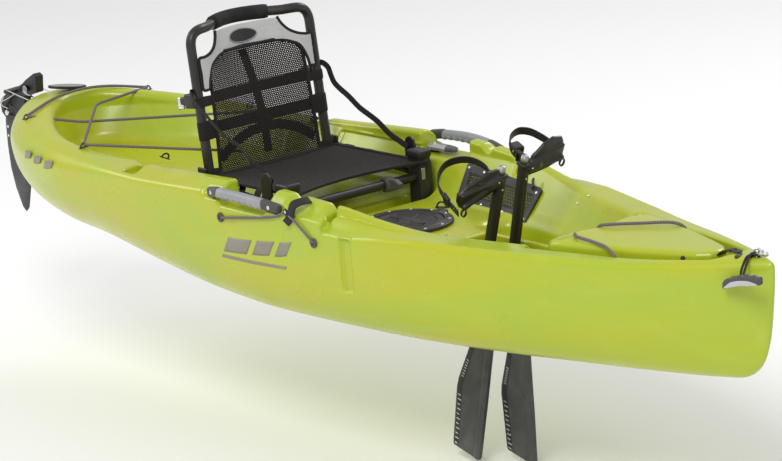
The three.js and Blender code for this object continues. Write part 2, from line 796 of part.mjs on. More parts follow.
function bowCord() {
  const top = deck(1395, 0) + GAP;
  return bar([[1404, 0, top + 9], [1407, -24, top + 5], CORD_BEND, [TOGGLE.x, TOGGLE.y + 2, TOGGLE.z + 20]], 2.6);
}
piece("bow_cord", bowCord(), BLACK);

function bowToggle() {
  const { x, y, z, half, rise } = TOGGLE;
  const grip = sweptTube(
    [
      [x - half, y + 2, z - rise],
      [x - half / 3, y - 2, z + 2],
      [x + half / 3, y, z + 8],
      [x + half, y + 6, z + rise],
    ],
    10,
    8,
  );
  const bore = bar([CORD_BEND, [x, y + 2, z + 19]], 3.2);
  return cut(grip, bore);
}
piece("bow_toggle", bowToggle(), DARK_GREY);

// ---- Stern deck ----
const KNOT_RADIUS = 6;

function cargoBungee() {
  const lift = 11;
  const crossing = 9; // the run that crosses on top is this much higher
  const over = (x, y, extra = 0) => [x, y, deck(x, y) + lift + extra];
  const aftEye = over(-1212, -200);
  const farEye = over(-1222, 200);
  const sideEye = over(-850, -292);
  const points = [
    over(-690, 292, crossing),
    over(-1150, -158, crossing),
    aftEye,
    over(-1238, -96),
    over(-1243, 104),
    farEye,
    over(-1185, 160),
    sideEye,
    [-446, -60, 318],
  ];
  const knots = [aftEye, farEye, sideEye].map(([x, y, z]) => rod([x, y, z - lift + 3], [x, y, z], KNOT_RADIUS, 8));
  return join(bar(points, 4), ...knots);
}
piece("cargo_bungee", cargoBungee(), CORD);

function sternBadge() {
  const oval = [];
  const count = 28;
  for (let i = 0; i < count; i++) {
    const angle = (2 * Math.PI * i) / count;
    oval.push([-1309 + 29 * Math.cos(angle), 61 * Math.sin(angle)]);
  }
  return floorPlate(oval, deck(-1309, 0) + 3, 5);
}
piece("stern_badge", sternBadge(), DARK_GREY);

// ---- Seat ----
function seatFrame() {
  const { x, z } = SEAT_HINGE;
  const w = SEAT_RAIL_Y;
  const rails = SIDES.map(([, side]) => rod([x, side * w, z - 14], [SEAT_TUBE.x, side * w, SEAT_TUBE.z], 10));
  const front = rod([SEAT_TUBE.x, -243, SEAT_TUBE.z], [SEAT_TUBE.x, 243, SEAT_TUBE.z], SEAT_TUBE.radius, 14);
  const rear = bar(
    [
      [x + 14, -w, z - 14],
      [x + 20, -w + 20, z - 34],
      [x + 20, w - 20, z - 34],
      [x + 14, w, z - 14],
    ],
    9,
    10,
  );
  const ears = SIDES.map(([, side]) =>
    cut(sideBlock(side, x - 16, x + 16, 215, 221, z - 16, z + 16), rod([x, side * 205, z], [x, side * 230, z], 5, 14)),
  );
  const strapTabs = SIDES.map(([, side]) => sideBlock(side, -134, -106, 232, 241, 250, 345));
  return join(...rails, front, rear, ...ears, ...strapTabs);
}
piece("seat_frame", seatFrame(), BLACK);

// The mesh sling over the seat frame; its front edge is carried higher than the cross tube.
function seatSling() {
  const w = SEAT_HALF_WIDTH - 20;
  const line = [
    [SEAT_HINGE.x + 34, 276],
    [-300, 268],
    [-110, 280],
    [-45, 294],
  ];
  const rings = line.map(([x, z]) => [
    [x, -w, z],
    [x, -w / 2, z - 3],
    [x, w / 2, z - 3],
    [x, w, z],
    [x, w, z + 5],
    [x, -w, z + 5],
  ]);
  return loft(rings);
}
piece("seat_sling", seatSling(), MESH);

// Points on the back frame's plane: up the recline from the hinge line.
function onBack(y, up, forward = 0) {
  const lean = radians(BACK_RECLINE);
  return [
    SEAT_HINGE.x - up * Math.sin(lean) + forward * Math.cos(lean),
    y,
    SEAT_HINGE.z + up * Math.cos(lean) + forward * Math.sin(lean),
  ];
}

// How far the back bows aft, where t is the share of the way from the middle to the side.
function bow(t, depth) {
  return depth * (1 - t ** 2);
}

// The line of the top bar over a share of its width.
function topBar(share, steps) {
  const half = SEAT_HALF_WIDTH - 50;
  return Array.from({ length: steps + 1 }, (_, i) => {
    const t = share * ((2 * i) / steps - 1);
    return onBack(half * t, BACK_HEIGHT, -bow(t, BACK_BOW));
  });
}

function backFrame() {
  const w = SEAT_HALF_WIDTH;
  const hoop = bar(
    [
      onBack(-w, 0),
      onBack(-w, BACK_HEIGHT - 60),
      onBack(-w + 16, BACK_HEIGHT - 16),
      ...topBar(1, 4),
      onBack(w - 16, BACK_HEIGHT - 16),
      onBack(w, BACK_HEIGHT - 60),
      onBack(w, 0),
    ],
    13,
    8,
  );
  const pins = SIDES.map(([, side]) => rod(onBack(side * (w - 4), 0), onBack(side * 220.6, 0), 4.5, 12));
  return join(hoop, ...pins);
}
piece("back_frame", backFrame(), BLACK);

// A sheet stretched across the back, bowed aft by a depth.
function backSlab(halfWidth, low, high, depth) {
  const across = [-1, -0.5, 0, 0.5, 1];
  const line = (face) => across.map((t) => new THREE.Vector2(face - bow(t, depth), halfWidth * t));
  const shape = new THREE.Shape([...line(8), ...line(14).reverse()]);
  const sheet = new THREE.ExtrudeGeometry(shape, { depth: high - low, bevelEnabled: false });
  const origin = new THREE.Vector3(...onBack(0, low));
  const forward = new THREE.Vector3(...onBack(0, low, 1)).sub(origin);
  const up = new THREE.Vector3(...onBack(0, low + 1)).sub(origin);
  const placed = new THREE.Matrix4().makeBasis(forward, new THREE.Vector3(0, 1, 0), up).setPosition(origin);
  return solid(sheet, placed);
}
piece("back_panel", backSlab(160, 36, 268, 0.4 * BACK_BOW), MESH);
piece("back_yoke", backSlab(150, 270, BACK_HEIGHT - 24, 0.8 * BACK_BOW), GREY);

function foamGrip() {
  return cut(bar(topBar(0.66, 2), 19, 12), bar(topBar(1, 4), 13.9, 8));
}
piece("foam_grip", foamGrip(), RUBBER);

// Recline straps run from the hoop down to the front corners of the seat frame.
function reclineStrap(side) {
  const line = [
    [-345, 440],
    [-262, 389],
    [-180, 350],
    [-94, 311],
  ];
  const start = onBack(side * STRAP_Y, 214, 2);
  return bar([start, ...line.map(([x, z]) => [x, side * STRAP_Y, z])], 5);
}
SIDES.forEach(([name, side]) => piece(`recline_strap_${name}`, reclineStrap(side), BLACK));

// The two box legs that stand in the cockpit sides and carry the front of the seat.
function seatPost(side) {
  const { x, z, radius } = SEAT_TUBE;
  const post = sideBlock(side, x - 24, x + 24, 196, 236, POST_FOOT_Z + GAP, 318);
  const tubeBore = rod([x, -300, z], [x, 300, z], radius + GAP, 14);
  const railSlot = sideBlock(side, x - 40, x + 2, 212, 240, z - 14, z + 16);
  return cut(post, tubeBore, railSlot);
}
SIDES.forEach(([name, side]) => piece(`seat_post_${name}`, seatPost(side), BLACK));

// The cam that clamps the seat's front tube.
function seatLever() {
  const { x, z, radius } = SEAT_TUBE;
  const collar = cut(rod([x, 92, z], [x, 116, z], 18, 16), rod([x, 80, z], [x, 130, z], radius + GAP, 14));
  const arm = block(x + 15, x + 58, 96, 112, z - 5, z + 7);
  return join(collar, arm);
}
piece("seat_lever", seatLever(), DARK_GREY);

// ---- Mesh pockets on the cockpit walls ----
function pocketPlate(side, inset, thickness, lift) {
  const low = 205 + inset;
  const high = 283 - inset;
  const wall = (x, z) => halfBreadth(x) - GUNWALE - (310 - z) * WALL_SLOPE - lift;
  const corners = [
    [88 + inset, low],
    [360 - inset * 1.4, low],
    [382 - inset * 1.4, high],
    [70 + inset, high],
  ];
  const back = corners.map(([x, z]) => [x, side * wall(x, z), z]);
  const front = corners.map(([x, z]) => [x, side * (wall(x, z) - thickness), z]);
  return loft(side > 0 ? [front, back] : [back, front]);
}

function meshPocket(side) {
  const rim = cut(pocketPlate(side, 0, 5, 5), pocketPlate(side, 14, 12, 2));
  const net = pocketPlate(side, 13, 2, 7);
  return join(rim, net);
}
SIDES.forEach(([name, side]) => piece(`mesh_pocket_${name}`, meshPocket(side), BLACK));

export default kayak;
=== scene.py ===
"""Looks for the pedal kayak. Every visible surface is modelled here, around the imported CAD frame.

Shapes are written in millimetres in the kayak's own frame (+X bow, +Y port, +Z up) and built in metres.
Moulded parts are rounded distance fields turned into meshes; tubes, cords and straps are swept profiles.
"""

import itertools
import json
import math

import bpy
import numpy as np
from mathutils import Matrix, Vector


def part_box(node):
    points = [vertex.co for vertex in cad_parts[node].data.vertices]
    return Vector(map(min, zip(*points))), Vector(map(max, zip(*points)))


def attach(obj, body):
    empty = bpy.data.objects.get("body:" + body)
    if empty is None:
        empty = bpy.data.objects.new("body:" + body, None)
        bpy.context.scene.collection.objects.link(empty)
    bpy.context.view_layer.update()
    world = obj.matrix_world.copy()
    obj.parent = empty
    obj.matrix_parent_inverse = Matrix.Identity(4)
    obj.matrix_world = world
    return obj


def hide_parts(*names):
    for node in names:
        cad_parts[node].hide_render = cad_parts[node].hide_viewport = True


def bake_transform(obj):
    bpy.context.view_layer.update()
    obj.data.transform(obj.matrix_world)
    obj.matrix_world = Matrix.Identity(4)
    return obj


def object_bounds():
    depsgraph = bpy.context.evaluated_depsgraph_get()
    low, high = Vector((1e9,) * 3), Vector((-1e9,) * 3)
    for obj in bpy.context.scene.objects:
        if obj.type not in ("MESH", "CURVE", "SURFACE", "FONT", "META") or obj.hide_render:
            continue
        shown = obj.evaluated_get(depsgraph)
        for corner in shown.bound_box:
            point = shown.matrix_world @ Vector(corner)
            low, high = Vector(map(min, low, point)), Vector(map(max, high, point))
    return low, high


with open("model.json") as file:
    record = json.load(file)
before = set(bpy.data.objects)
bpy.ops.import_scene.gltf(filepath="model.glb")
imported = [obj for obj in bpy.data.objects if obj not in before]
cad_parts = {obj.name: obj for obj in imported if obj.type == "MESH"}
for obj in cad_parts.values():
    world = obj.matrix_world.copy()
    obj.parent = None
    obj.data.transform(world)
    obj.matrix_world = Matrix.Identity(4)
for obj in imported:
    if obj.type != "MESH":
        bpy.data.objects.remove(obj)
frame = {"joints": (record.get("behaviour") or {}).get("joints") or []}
CAD_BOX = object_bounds()
MM = 0.001
SIDES = (("port", 1), ("stbd", -1))
COARSE = 1.0  # grid steps grow by this while trying things

# ---- Driving dimensions (mm) ----
EDGE_RADIUS = 17  # where the hull side meets the deck
STERN_EDGE_RADIUS = 58
COAMING_RISE = 15
EDGE_DROP = 12  # the crease runs this far below the coaming amidships
GUNWALE = 75  # from the hull side to the top of the cockpit wall
WALL_TOP_Z = 310
WALL_SLOPE = 0.66  # how far the well walls come in for each mm down
WALL_COS = 0.84  # turns a level distance from a sloping wall into one square to it
FLOOR_Z = 198
CARGO_FLOOR_Z = 215
CARGO_AFT = -1266  # rear edge of the cargo well
FOOTWELL_Z = 105
BOW_RECESS_Z = 262


def box_mm(node):
    """Lowest and highest corner of a CAD node, in millimetres."""
    low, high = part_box(node)
    return np.array(low) / MM, np.array(high) / MM


def centre_mm(node):
    low, high = box_mm(node)
    return (low + high) / 2


# ---- Rounded distance fields ----
def smooth(t):
    t = np.clip(t, 0, 1)
    return t * t * (3 - 2 * t)


def band(x, low, high, soft):
    """1 between low and high, easing to 0 over soft outside them."""
    return smooth((x - low) / soft + 1) * smooth((high - x) / soft + 1)


def both(a, b, radius=0.0):
    """Where both fields are inside, with the edge between them rounded."""
    corner = np.hypot(np.maximum(a + radius, 0), np.maximum(b + radius, 0))
    return np.minimum(np.maximum(a, b), -radius) + corner


def either(a, b, radius=0.0):
    """Where either field is inside, with a fillet in the inner corner."""
    return -both(-a, -b, radius)


def without(a, b, radius=0.0):
    """The first field with the second cut away."""
    return both(a, -b, radius)


def block(x, y, z, low, high, radius=0.0):
    """A box with rounded edges."""
    sides = []
    for value, lowest, highest in zip((x, y, z), low, high):
        sides.append(np.abs(value - (lowest + highest) / 2) - (highest - lowest) / 2 + radius)
    outside = np.sqrt(sum(np.maximum(side, 0) ** 2 for side in sides))
    inside = np.minimum(np.maximum(np.maximum(sides[0], sides[1]), sides[2]), 0)
    return outside + inside - radius


def capsule(x, y, z, start, end, radius):
    """A round-ended bar between two points."""
    start = np.array(start, float)
    along = np.array(end, float) - start
    offset = (x - start[0], y - start[1], z - start[2])
    t = sum(o * a for o, a in zip(offset, along)) / (along @ along)
    t = np.clip(t, 0, 1)
    return np.sqrt(sum((o - t * a) ** 2 for o, a in zip(offset, along))) - radius


def barrel(x, y, z, start, end, radius, rounding=1.0):
    """A flat-ended round bar between two points."""
    start = np.array(start, float)
    along = np.array(end, float) - start
    length = np.linalg.norm(along)
    direction = along / length
    offset = (x - start[0], y - start[1], z - start[2])
    h = sum(o * d for o, d in zip(offset, direction))
    across = np.sqrt(np.maximum(sum(o**2 for o in offset) - h**2, 1e-9))
    return both(across - radius, np.abs(h - length / 2) - length / 2, rounding)


def polygon(u, v, corners):
    """Signed distance in a plane to a polygon."""
    corners = np.array(corners, float)
    u, v = np.broadcast_arrays(u, v)
    nearest = np.full(u.shape, np.inf)
    inside = np.zeros(u.shape, bool)
    for a, b in zip(corners, np.roll(corners, -1, axis=0)):
        edge = b - a
        t = np.clip(((u - a[0]) * edge[0] + (v - a[1]) * edge[1]) / (edge @ edge), 0, 1)
        nearest = np.minimum(nearest, (u - a[0] - t * edge[0]) ** 2 + (v - a[1] - t * edge[1]) ** 2)
        spans = (a[1] > v) != (b[1] > v)
        if edge[1] != 0:
            inside ^= spans & (u < a[0] + (v - a[1]) / edge[1] * edge[0])
    return np.where(inside, -1, 1) * np.sqrt(nearest)


def surface_net(field, low, high, step, mirror):
    """Vertices and quads of the surface where the field is zero, from a regular grid."""
    low = np.array(low, float)
    if mirror:
        low[1] = -step / 2
    counts = [int(math.ceil((h - l) / step)) + 1 for l, h in zip(low, high)]
    lines = [low[axis] + step * np.arange(counts[axis]) for axis in range(3)]
    values = field(lines[0][:, None, None], lines[1][None, :, None], lines[2][None, None, :])
    values = np.ascontiguousarray(np.broadcast_to(values, counts))
    inside = values < 0
    nx, ny, nz = (n - 1 for n in counts)
    corners = np.zeros((nx, ny, nz), np.int8)
    for i, j, k in itertools.product((0, 1), repeat=3):
        corners += inside[i : nx + i, j : ny + j, k : nz + k]
    cells = np.argwhere((corners > 0) & (corners < 8))
    index = np.full((nx, ny, nz), -1)
    index[tuple(cells.T)] = np.arange(len(cells))
    total = np.zeros((len(cells), 3))
    hits = np.zeros(len(cells))
    quads = []
    for axis in range(3):
        step_to = np.eye(3, dtype=int)[axis]
        others = [np.eye(3, dtype=int)[(axis + k) % 3] for k in (1, 2)]
        for a, b in itertools.product((0, 1), repeat=2):
            start = cells + a * others[0] + b * others[1]
            f0 = values[tuple(start.T)]
            f1 = values[tuple((start + step_to).T)]
            crossed = (f0 < 0) != (f1 < 0)
            share = f0[crossed] / (f0[crossed] - f1[crossed])
            total[crossed] += start[crossed] + share[:, None] * step_to
            hits[crossed] += 1
        ahead = tuple(slice(1, None) if k == axis else slice(None) for k in range(3))
        behind = tuple(slice(None, -1) if k == axis else slice(None) for k in range(3))
        edges = np.argwhere(inside[ahead] != inside[behind])
        limit = np.array([nx, ny, nz])
        free = [k for k in range(3) if k != axis]
        keep = np.all((edges[:, free] >= 1) & (edges[:, free] < limit[free]), axis=1)
        edges = edges[keep]
        around = [edges, edges - others[0], edges - others[0] - others[1], edges - others[1]]
        ring = np.stack([index[tuple(cell.T)] for cell in around], axis=1)
        leaving = inside[tuple(edges.T)]
        ring[~leaving] = ring[~leaving][:, ::-1]
        quads.append(ring)
    points = low + step * total / hits[:, None]
    return points, np.concatenate(quads)


def field_gradient(field, points, reach):
    columns = []
    for axis in range(3):
        shift = np.zeros(3)
        shift[axis] = reach
        ahead = field(*(points + shift).T)
        behind = field(*(points - shift).T)
        columns.append((ahead - behind) / (2 * reach))
    return np.stack(columns, axis=1)


def settle(field, points, step):
    """Moves points onto the field's zero surface and returns them with the surface normals."""
    start = points.copy()
    for _ in range(4):
        gradient = field_gradient(field, points, 0.15 * step)
        slope = np.maximum((gradient**2).sum(1), 0.05)
        push = -(field(*points.T) / slope)[:, None] * gradient
        moved = points + push - start
        length = np.linalg.norm(moved, axis=1, keepdims=True)
        points = start + moved * np.minimum(1, 0.8 * step / np.maximum(length, 1e-9))
    gradient = field_gradient(field, points, 0.3 * step)
    return points, gradient / np.maximum(np.linalg.norm(gradient, axis=1, keepdims=True), 1e-9)


def field_mesh(name, field, low, high, step, mirror=False):
    """An object whose surface is the field's zero surface. A mirrored field is even in y."""
    step = step * COARSE
    shape = (lambda x, y, z: field(x, np.abs(y), z)) if mirror else field
    points, quads = surface_net(shape, low, high, step, mirror)
    points, normals = settle(shape, points, step)
    if mirror:
        middle = points[:, 1] < 0.5 * step
        on_axis = middle & (np.abs(points[:, 1]) < 0.45 * step)
        points[on_axis, 1] = 0
        normals[on_axis, 1] = 0
        twin = np.arange(len(points))
        copied = np.flatnonzero(~on_axis)
        twin[copied] = len(points) + np.arange(len(copied))
        flip = np.array([1, -1, 1])
        points = np.concatenate([points, points[copied] * flip])
        normals = np.concatenate([normals, normals[copied] * flip])
        quads = np.concatenate([quads, twin[quads][:, ::-1]])
    return mesh_object(name, points, quads, normals)


# ---- Meshes ----
def mesh_object(name, points, faces, normals=None, uvs=None):
    """A smooth-shaded object from points in millimetres."""
    mesh = bpy.data.meshes.new(name)
    mesh.from_pydata((np.asarray(points, float) * MM).tolist(), [], [list(map(int, f)) for f in faces])
    mesh.validate()
    mesh.polygons.foreach_set("use_smooth", np.ones(len(mesh.polygons), bool))
    if uvs is not None:
        layer = mesh.uv_layers.new(name="UVMap")
        corners = np.zeros(len(mesh.loops), int)
        mesh.loops.foreach_get("vertex_index", corners)
        layer.data.foreach_set("uv", np.asarray(uvs, float)[corners].ravel())
    if normals is not None:
        lengths = np.linalg.norm(normals, axis=1, keepdims=True)
        mesh.normals_split_custom_set_from_vertices((normals / np.maximum(lengths, 1e-9)).tolist())
    made = bpy.data.objects.new(name, mesh)
    bpy.context.scene.collection.objects.link(made)
    return made


def curve_points(corners, spacing=6.0, closed=False):
    """Evenly spaced points on a Catmull-Rom curve through the corners."""
    corners = [np.array(c, float) for c in corners]
    count = len(corners)
    spans = count if closed else count - 1
    fine = []
    for i in range(spans):
        if closed:
            p0, p1, p2, p3 = (corners[(i + k) % count] for k in (-1, 0, 1, 2))
        else:
            p1, p2 = corners[i], corners[i + 1]
            p0 = corners[i - 1] if i else 2 * p1 - p2
            p3 = corners[i + 2] if i + 2 < count else 2 * p2 - p1
        knots = [0.0]
        for a, b in ((p0, p1), (p1, p2), (p2, p3)):
            knots.append(knots[-1] + max(np.linalg.norm(b - a) ** 0.5, 1e-6))
        t0, t1, t2, t3 = knots
        for t in np.linspace(t1, t2, 24, endpoint=False):
            a1 = p0 * (t1 - t) / (t1 - t0) + p1 * (t - t0) / (t1 - t0)
            a2 = p1 * (t2 - t) / (t2 - t1) + p2 * (t - t1) / (t2 - t1)
            a3 = p2 * (t3 - t) / (t3 - t2) + p3 * (t - t2) / (t3 - t2)
            b1 = a1 * (t2 - t) / (t2 - t0) + a2 * (t - t0) / (t2 - t0)
            b2 = a2 * (t3 - t) / (t3 - t1) + a3 * (t - t1) / (t3 - t1)
            fine.append(b1 * (t2 - t) / (t2 - t1) + b2 * (t - t1) / (t2 - t1))
    fine.append(corners[0] if closed else corners[-1])
    return resample(np.array(fine), spacing)


def resample(points, spacing):
    points = np.array(points, float)
    run = np.r_[0, np.cumsum(np.linalg.norm(np.diff(points, axis=0), axis=1))]
    count = max(int(round(run[-1] / spacing)), 2)
    at = np.linspace(0, run[-1], count + 1)
    return np.stack([np.interp(at, run, points[:, k]) for k in range(3)], axis=1)


def rounded_path(corners, radius, spacing=6.0):
    """A path of straight runs with each corner replaced by an arc-like bend."""
    corners = [np.array(c, float) for c in corners]
    points = [corners[0]]
    for before, corner, after in zip(corners, corners[1:], corners[2:]):
        inward = before - corner
        outward = after - corner
        reach = min(radius, 0.48 * np.linalg.norm(inward), 0.48 * np.linalg.norm(outward))
        start = corner + inward / np.linalg.norm(inward) * reach
        end = corner + outward / np.linalg.norm(outward) * reach
        for t in np.linspace(0, 1, 13):
            points.append((1 - t) ** 2 * start + 2 * t * (1 - t) * corner + t**2 * end)
    points.append(corners[-1])
    return resample(np.array(points), spacing)


def path_frames(path, up=None):
    """A side and an up direction at every point of a path.

    With no up given they turn as little as possible.
    """
    tangents = np.gradient(path, axis=0)
    tangents /= np.linalg.norm(tangents, axis=1, keepdims=True)
    if up is not None:
        guide = np.broadcast_to(np.array(up, float), path.shape)
        side = np.cross(tangents, guide)
        side /= np.maximum(np.linalg.norm(side, axis=1, keepdims=True), 1e-9)
        return side, np.cross(side, tangents)
    first = np.eye(3)[np.argmin(np.abs(tangents[0]))]
    side = np.cross(tangents[0], first)
    side /= np.linalg.norm(side)
    sides = [side]
    for tangent in tangents[1:]:
        side = side - tangent * (side @ tangent)
        side = side / np.linalg.norm(side)
        sides.append(side)
    sides = np.array(sides)
    return sides, np.cross(sides, tangents)


def sweep_arrays(path, profile, up=None, scale=None, closed=False):
    """A closed skin made by carrying a profile of (side, up) points along a path."""
    path = np.array(path, float)
    if closed:
        path = path[:-1]
    side, lift = path_frames(path, up)
    profile = np.array(profile, float)
    count = len(profile)
    scale = np.ones(len(path)) if scale is None else np.asarray(scale, float)
    rings = path[:, None] + scale[:, None, None] * (
        profile[None, :, :1] * side[:, None] + profile[None, :, 1:] * lift[:, None]
    )
    points = rings.reshape(-1, 3)
    run = np.r_[0, np.cumsum(np.linalg.norm(np.diff(path, axis=0), axis=1))]
    uvs = np.stack(np.broadcast_arrays(run[:, None] * MM, np.arange(count) / count), axis=-1).reshape(-1, 2)
    faces = []
    total = len(path)
    for ring in range(total if closed else total - 1):
        following = (ring + 1) % total
        for i in range(count):
            j = (i + 1) % count
            a, b = ring * count + i, ring * count + j
            c, d = following * count + j, following * count + i
            faces.append((a, d, c, b))
    if not closed:
        faces.append(tuple(range(count)))
        faces.append(tuple((total - 1) * count + i for i in reversed(range(count))))
    return points, faces, uvs


def merge(parts):
    """One set of points, faces and uvs from several."""
    points, faces, uvs = [], [], []
    base = 0
    for p, f, u in parts:
        points.append(np.asarray(p, float))
        uvs.append(np.asarray(u, float))
        faces.extend(tuple(base + i for i in face) for face in f)
        base += len(p)
    return np.concatenate(points), faces, np.concatenate(uvs)


def circle(radius, sides=14):
    angles = 2 * np.pi * np.arange(sides) / sides
    return np.stack([radius * np.cos(angles), radius * np.sin(angles)], axis=1)


def flat_oval(width, thickness, sides=16, squareness=0.5):
    """A strap's cross-section: wide, thin, with rounded edges."""
    angles = 2 * np.pi * (np.arange(sides) + 0.5) / sides
    u = np.sign(np.cos(angles)) * np.abs(np.cos(angles)) ** squareness
    v = np.sign(np.sin(angles)) * np.abs(np.sin(angles)) ** squareness
    return np.stack([u * width / 2, v * thickness / 2], axis=1)


def round_ends(path, radius):
    """A scale along a path that closes its ends in domes, with points added near the ends."""
    path = np.array(path, float)
    steps = radius * (1 - np.cos(np.linspace(0.12, np.pi / 2, 6)))
    first = path[1] - path[0]
    last = path[-2] - path[-1]
    head = [path[0] + first / np.linalg.norm(first) * s for s in steps]
    tail = [path[-1] + last / np.linalg.norm(last) * s for s in steps]
    middle = []
    for p in path:
        if min(np.linalg.norm(p - path[0]), np.linalg.norm(p - path[-1])) > radius * 1.1:
            middle.append(p)
    made = np.array(head + middle + tail[::-1])
    dome = np.sin(np.linspace(0.12, np.pi / 2, 6))
    return made, np.r_[dome, np.ones(len(middle)), dome[::-1]]


def tube_arrays(path, radius, sides=14):
    made, scale = round_ends(path, radius)
    return sweep_arrays(made, circle(radius, sides), scale=scale)


def build(name, parts, material, body, replaces=()):
    points, faces, uvs = merge(parts)
    made = mesh_object(name, points, faces, uvs=uvs)
    return dress(made, material, body, replaces)


def dress(made, material, body, replaces=()):
    """Gives a piece its material, its body, and the CAD nodes it stands for."""
    made.data.materials.clear()
    made.data.materials.append(material)
    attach(made, body)
    if replaces:
        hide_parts(*replaces)
    return made


def sculpt(name, field, low, high, step, material, body, replaces=(), mirror=False):
    """A dressed piece whose surface is where a field is zero."""
    return dress(field_mesh(name, field, low, high, step, mirror), material, body, replaces)


def pin_bar(name, start, end, radius, body, node, spacing=6, sides=18):
    """A straight steel pin that stands for a CAD node."""
    bar = tube_arrays(resample([start, end], spacing), radius, sides)
    return build(name, [bar], STEEL, body, [node])


def ring_points(centre, right, up, count=32):
    """Points round an ellipse whose half axes are two vectors, ending where they start."""
    angles = np.linspace(0, 2 * math.pi, count + 1)
    return np.array([centre + right * math.cos(a) + up * math.sin(a) for a in angles])


def local_axes(x, y, z, origin, axes):
    """How far points are from an origin along each of some unit axes."""
    offset = (x - origin[0], y - origin[1], z - origin[2])
    return [sum(o * d for o, d in zip(offset, axis)) for axis in axes]


def mirrored(half):
    """A closed outline from its half with y above zero, which starts and ends on y = 0."""
    return half + [(x, -y) for x, y in half[-2:0:-1]]


# ---- Materials ----
class Shader:
    """A principled material with short ways to add procedural nodes."""

    def __init__(self, name, color, roughness, metallic=0.0, specular=0.5):
        self.material = bpy.data.materials.new(name)
        self.material.use_nodes = True
        self.tree = self.material.node_tree
        self.shader = self.tree.nodes["Principled BSDF"]
        self.set("Base Color", (*color, 1))
        self.set("Roughness", roughness)
        self.set("Metallic", metallic)
        self.set("Specular IOR Level", specular)
        self.coordinates = self.tree.nodes.new("ShaderNodeTexCoord")

    def feed(self, socket, value):
        """Link a node's output to a socket, or store a plain value in it."""
        if isinstance(value, bpy.types.NodeSocket):
            self.tree.links.new(value, socket)
        else:
            socket.default_value = value

    def set(self, socket, value):
        self.feed(self.shader.inputs[socket], value)

    def node(self, kind, inputs=None, **settings):
        made = self.tree.nodes.new(kind)
        for key, value in settings.items():
            setattr(made, key, value)
        for key, value in (inputs or {}).items():
            self.feed(made.inputs[key], value)
        return made

    def place(self, stretch=(1, 1, 1), source="Object"):
        mapping = self.node("ShaderNodeMapping", {"Vector": self.coordinates.outputs[source]})
        mapping.inputs["Scale"].default_value = stretch
        return mapping.outputs[0]

    def noise(self, scale, detail=3.0, stretch=(1, 1, 1), distortion=0.0, rough=0.5):
        inputs = {
            "Vector": self.place(stretch),
            "Scale": scale,
            "Detail": detail,
            "Distortion": distortion,
            "Roughness": rough,
        }
        return self.node("ShaderNodeTexNoise", inputs).outputs["Fac"]

    def ramp(self, value, stops):
        made = self.node("ShaderNodeValToRGB", {"Fac": value})
        elements = made.color_ramp.elements
        while len(elements) < len(stops):
            elements.new(0.5)
        for element, (position, color) in zip(elements, stops):
            element.position = position
            element.color = (*color, 1) if len(color) == 3 else color
        return made.outputs["Color"]

    def grey(self, value, low, high, start=0.0, end=1.0):
        """The value's range from start to end mapped to low..high."""
        inputs = {"Value": value, "From Min": start, "From Max": end, "To Min": low, "To Max": high}
        return self.node("ShaderNodeMapRange", inputs).outputs["Result"]

    def maths(self, operation, a, b=0.0):
        made = self.node("ShaderNodeMath", operation=operation)
        for socket, value in zip(made.inputs, (a, b)):
            self.feed(socket, value)
        return made.outputs[0]

    def mix(self, share, a, b):
        made = self.node("ShaderNodeMix", data_type="RGBA")
        for socket, value in ((made.inputs[0], share), (made.inputs[6], a), (made.inputs[7], b)):
            self.feed(socket, (*value, 1) if isinstance(value, tuple) else value)
        return made.outputs[2]

    def bump(self, *layers):
        """Bump layers of (height, strength, distance in metres), one over the other."""
        normal = None
        for height, strength, distance in layers:
            inputs = {"Height": height, "Strength": strength, "Distance": distance}
            if normal is not None:
                inputs["Normal"] = normal
            normal = self.node("ShaderNodeBump", inputs).outputs["Normal"]
        self.set("Normal", normal)
        return self


def lime_plastic():
    """Rotomoulded polyethylene: two close greens swirled together, a waxy gloss, faint orange peel."""
    s = Shader("lime_plastic", LIME_MID, 0.3)
    swirl = s.noise(1.25, 3.0, (0.8, 1.5, 2.6), 1.6, 0.55)
    base = s.ramp(swirl, [(0.38, LIME_YELLOW), (0.50, LIME_MID), (0.64, LIME_GREEN)])
    streak = s.noise(3.1, 2.0, (0.7, 1.2, 2.4), 2.4)
    tinted = s.mix(s.grey(streak, 0.0, 0.35, 0.58, 0.74), base, LIME_PALE)
    s.set("Base Color", tinted)
    s.set("Roughness", s.grey(s.noise(9, 4.0), 0.24, 0.36, 0.3, 0.7))
    s.set("Coat Weight", 0.2)
    s.set("Coat Roughness", 0.14)
    peel = s.noise(420, 2.0)
    waves = s.noise(7, 2.0)
    s.bump((waves, 0.12, 0.006), (peel, 0.05, 0.0006))
    return s.material


def moulded(name, color, roughness, grain=900, strength=0.25, wear=0.04, specular=0.5):
    """A moulded plastic or rubber: fine grain, worn patches that are a little lighter and smoother."""
    s = Shader(name, color, roughness, specular=specular)
    lighter = tuple(min(c + wear, 1) for c in color)
    patches = s.noise(14, 5.0, distortion=0.6)
    s.set("Base Color", s.mix(s.grey(patches, 0, 1, 0.45, 0.75), color, lighter))
    s.set("Roughness", s.grey(patches, roughness + 0.06, roughness - 0.08, 0.35, 0.7))
    s.bump((s.noise(60, 3.0), 0.08, 0.001), (s.noise(grain, 2.0), strength, 0.0004))
    return s.material


def brushed_metal(name, color, roughness):
    s = Shader(name, color, roughness, metallic=1.0)
    lines = s.noise(260, 3.0, (0.12, 1, 1))
    s.set("Roughness", s.grey(lines, roughness - 0.08, roughness + 0.14, 0.3, 0.7))
    s.bump((lines, 0.08, 0.0003))
    return s.material


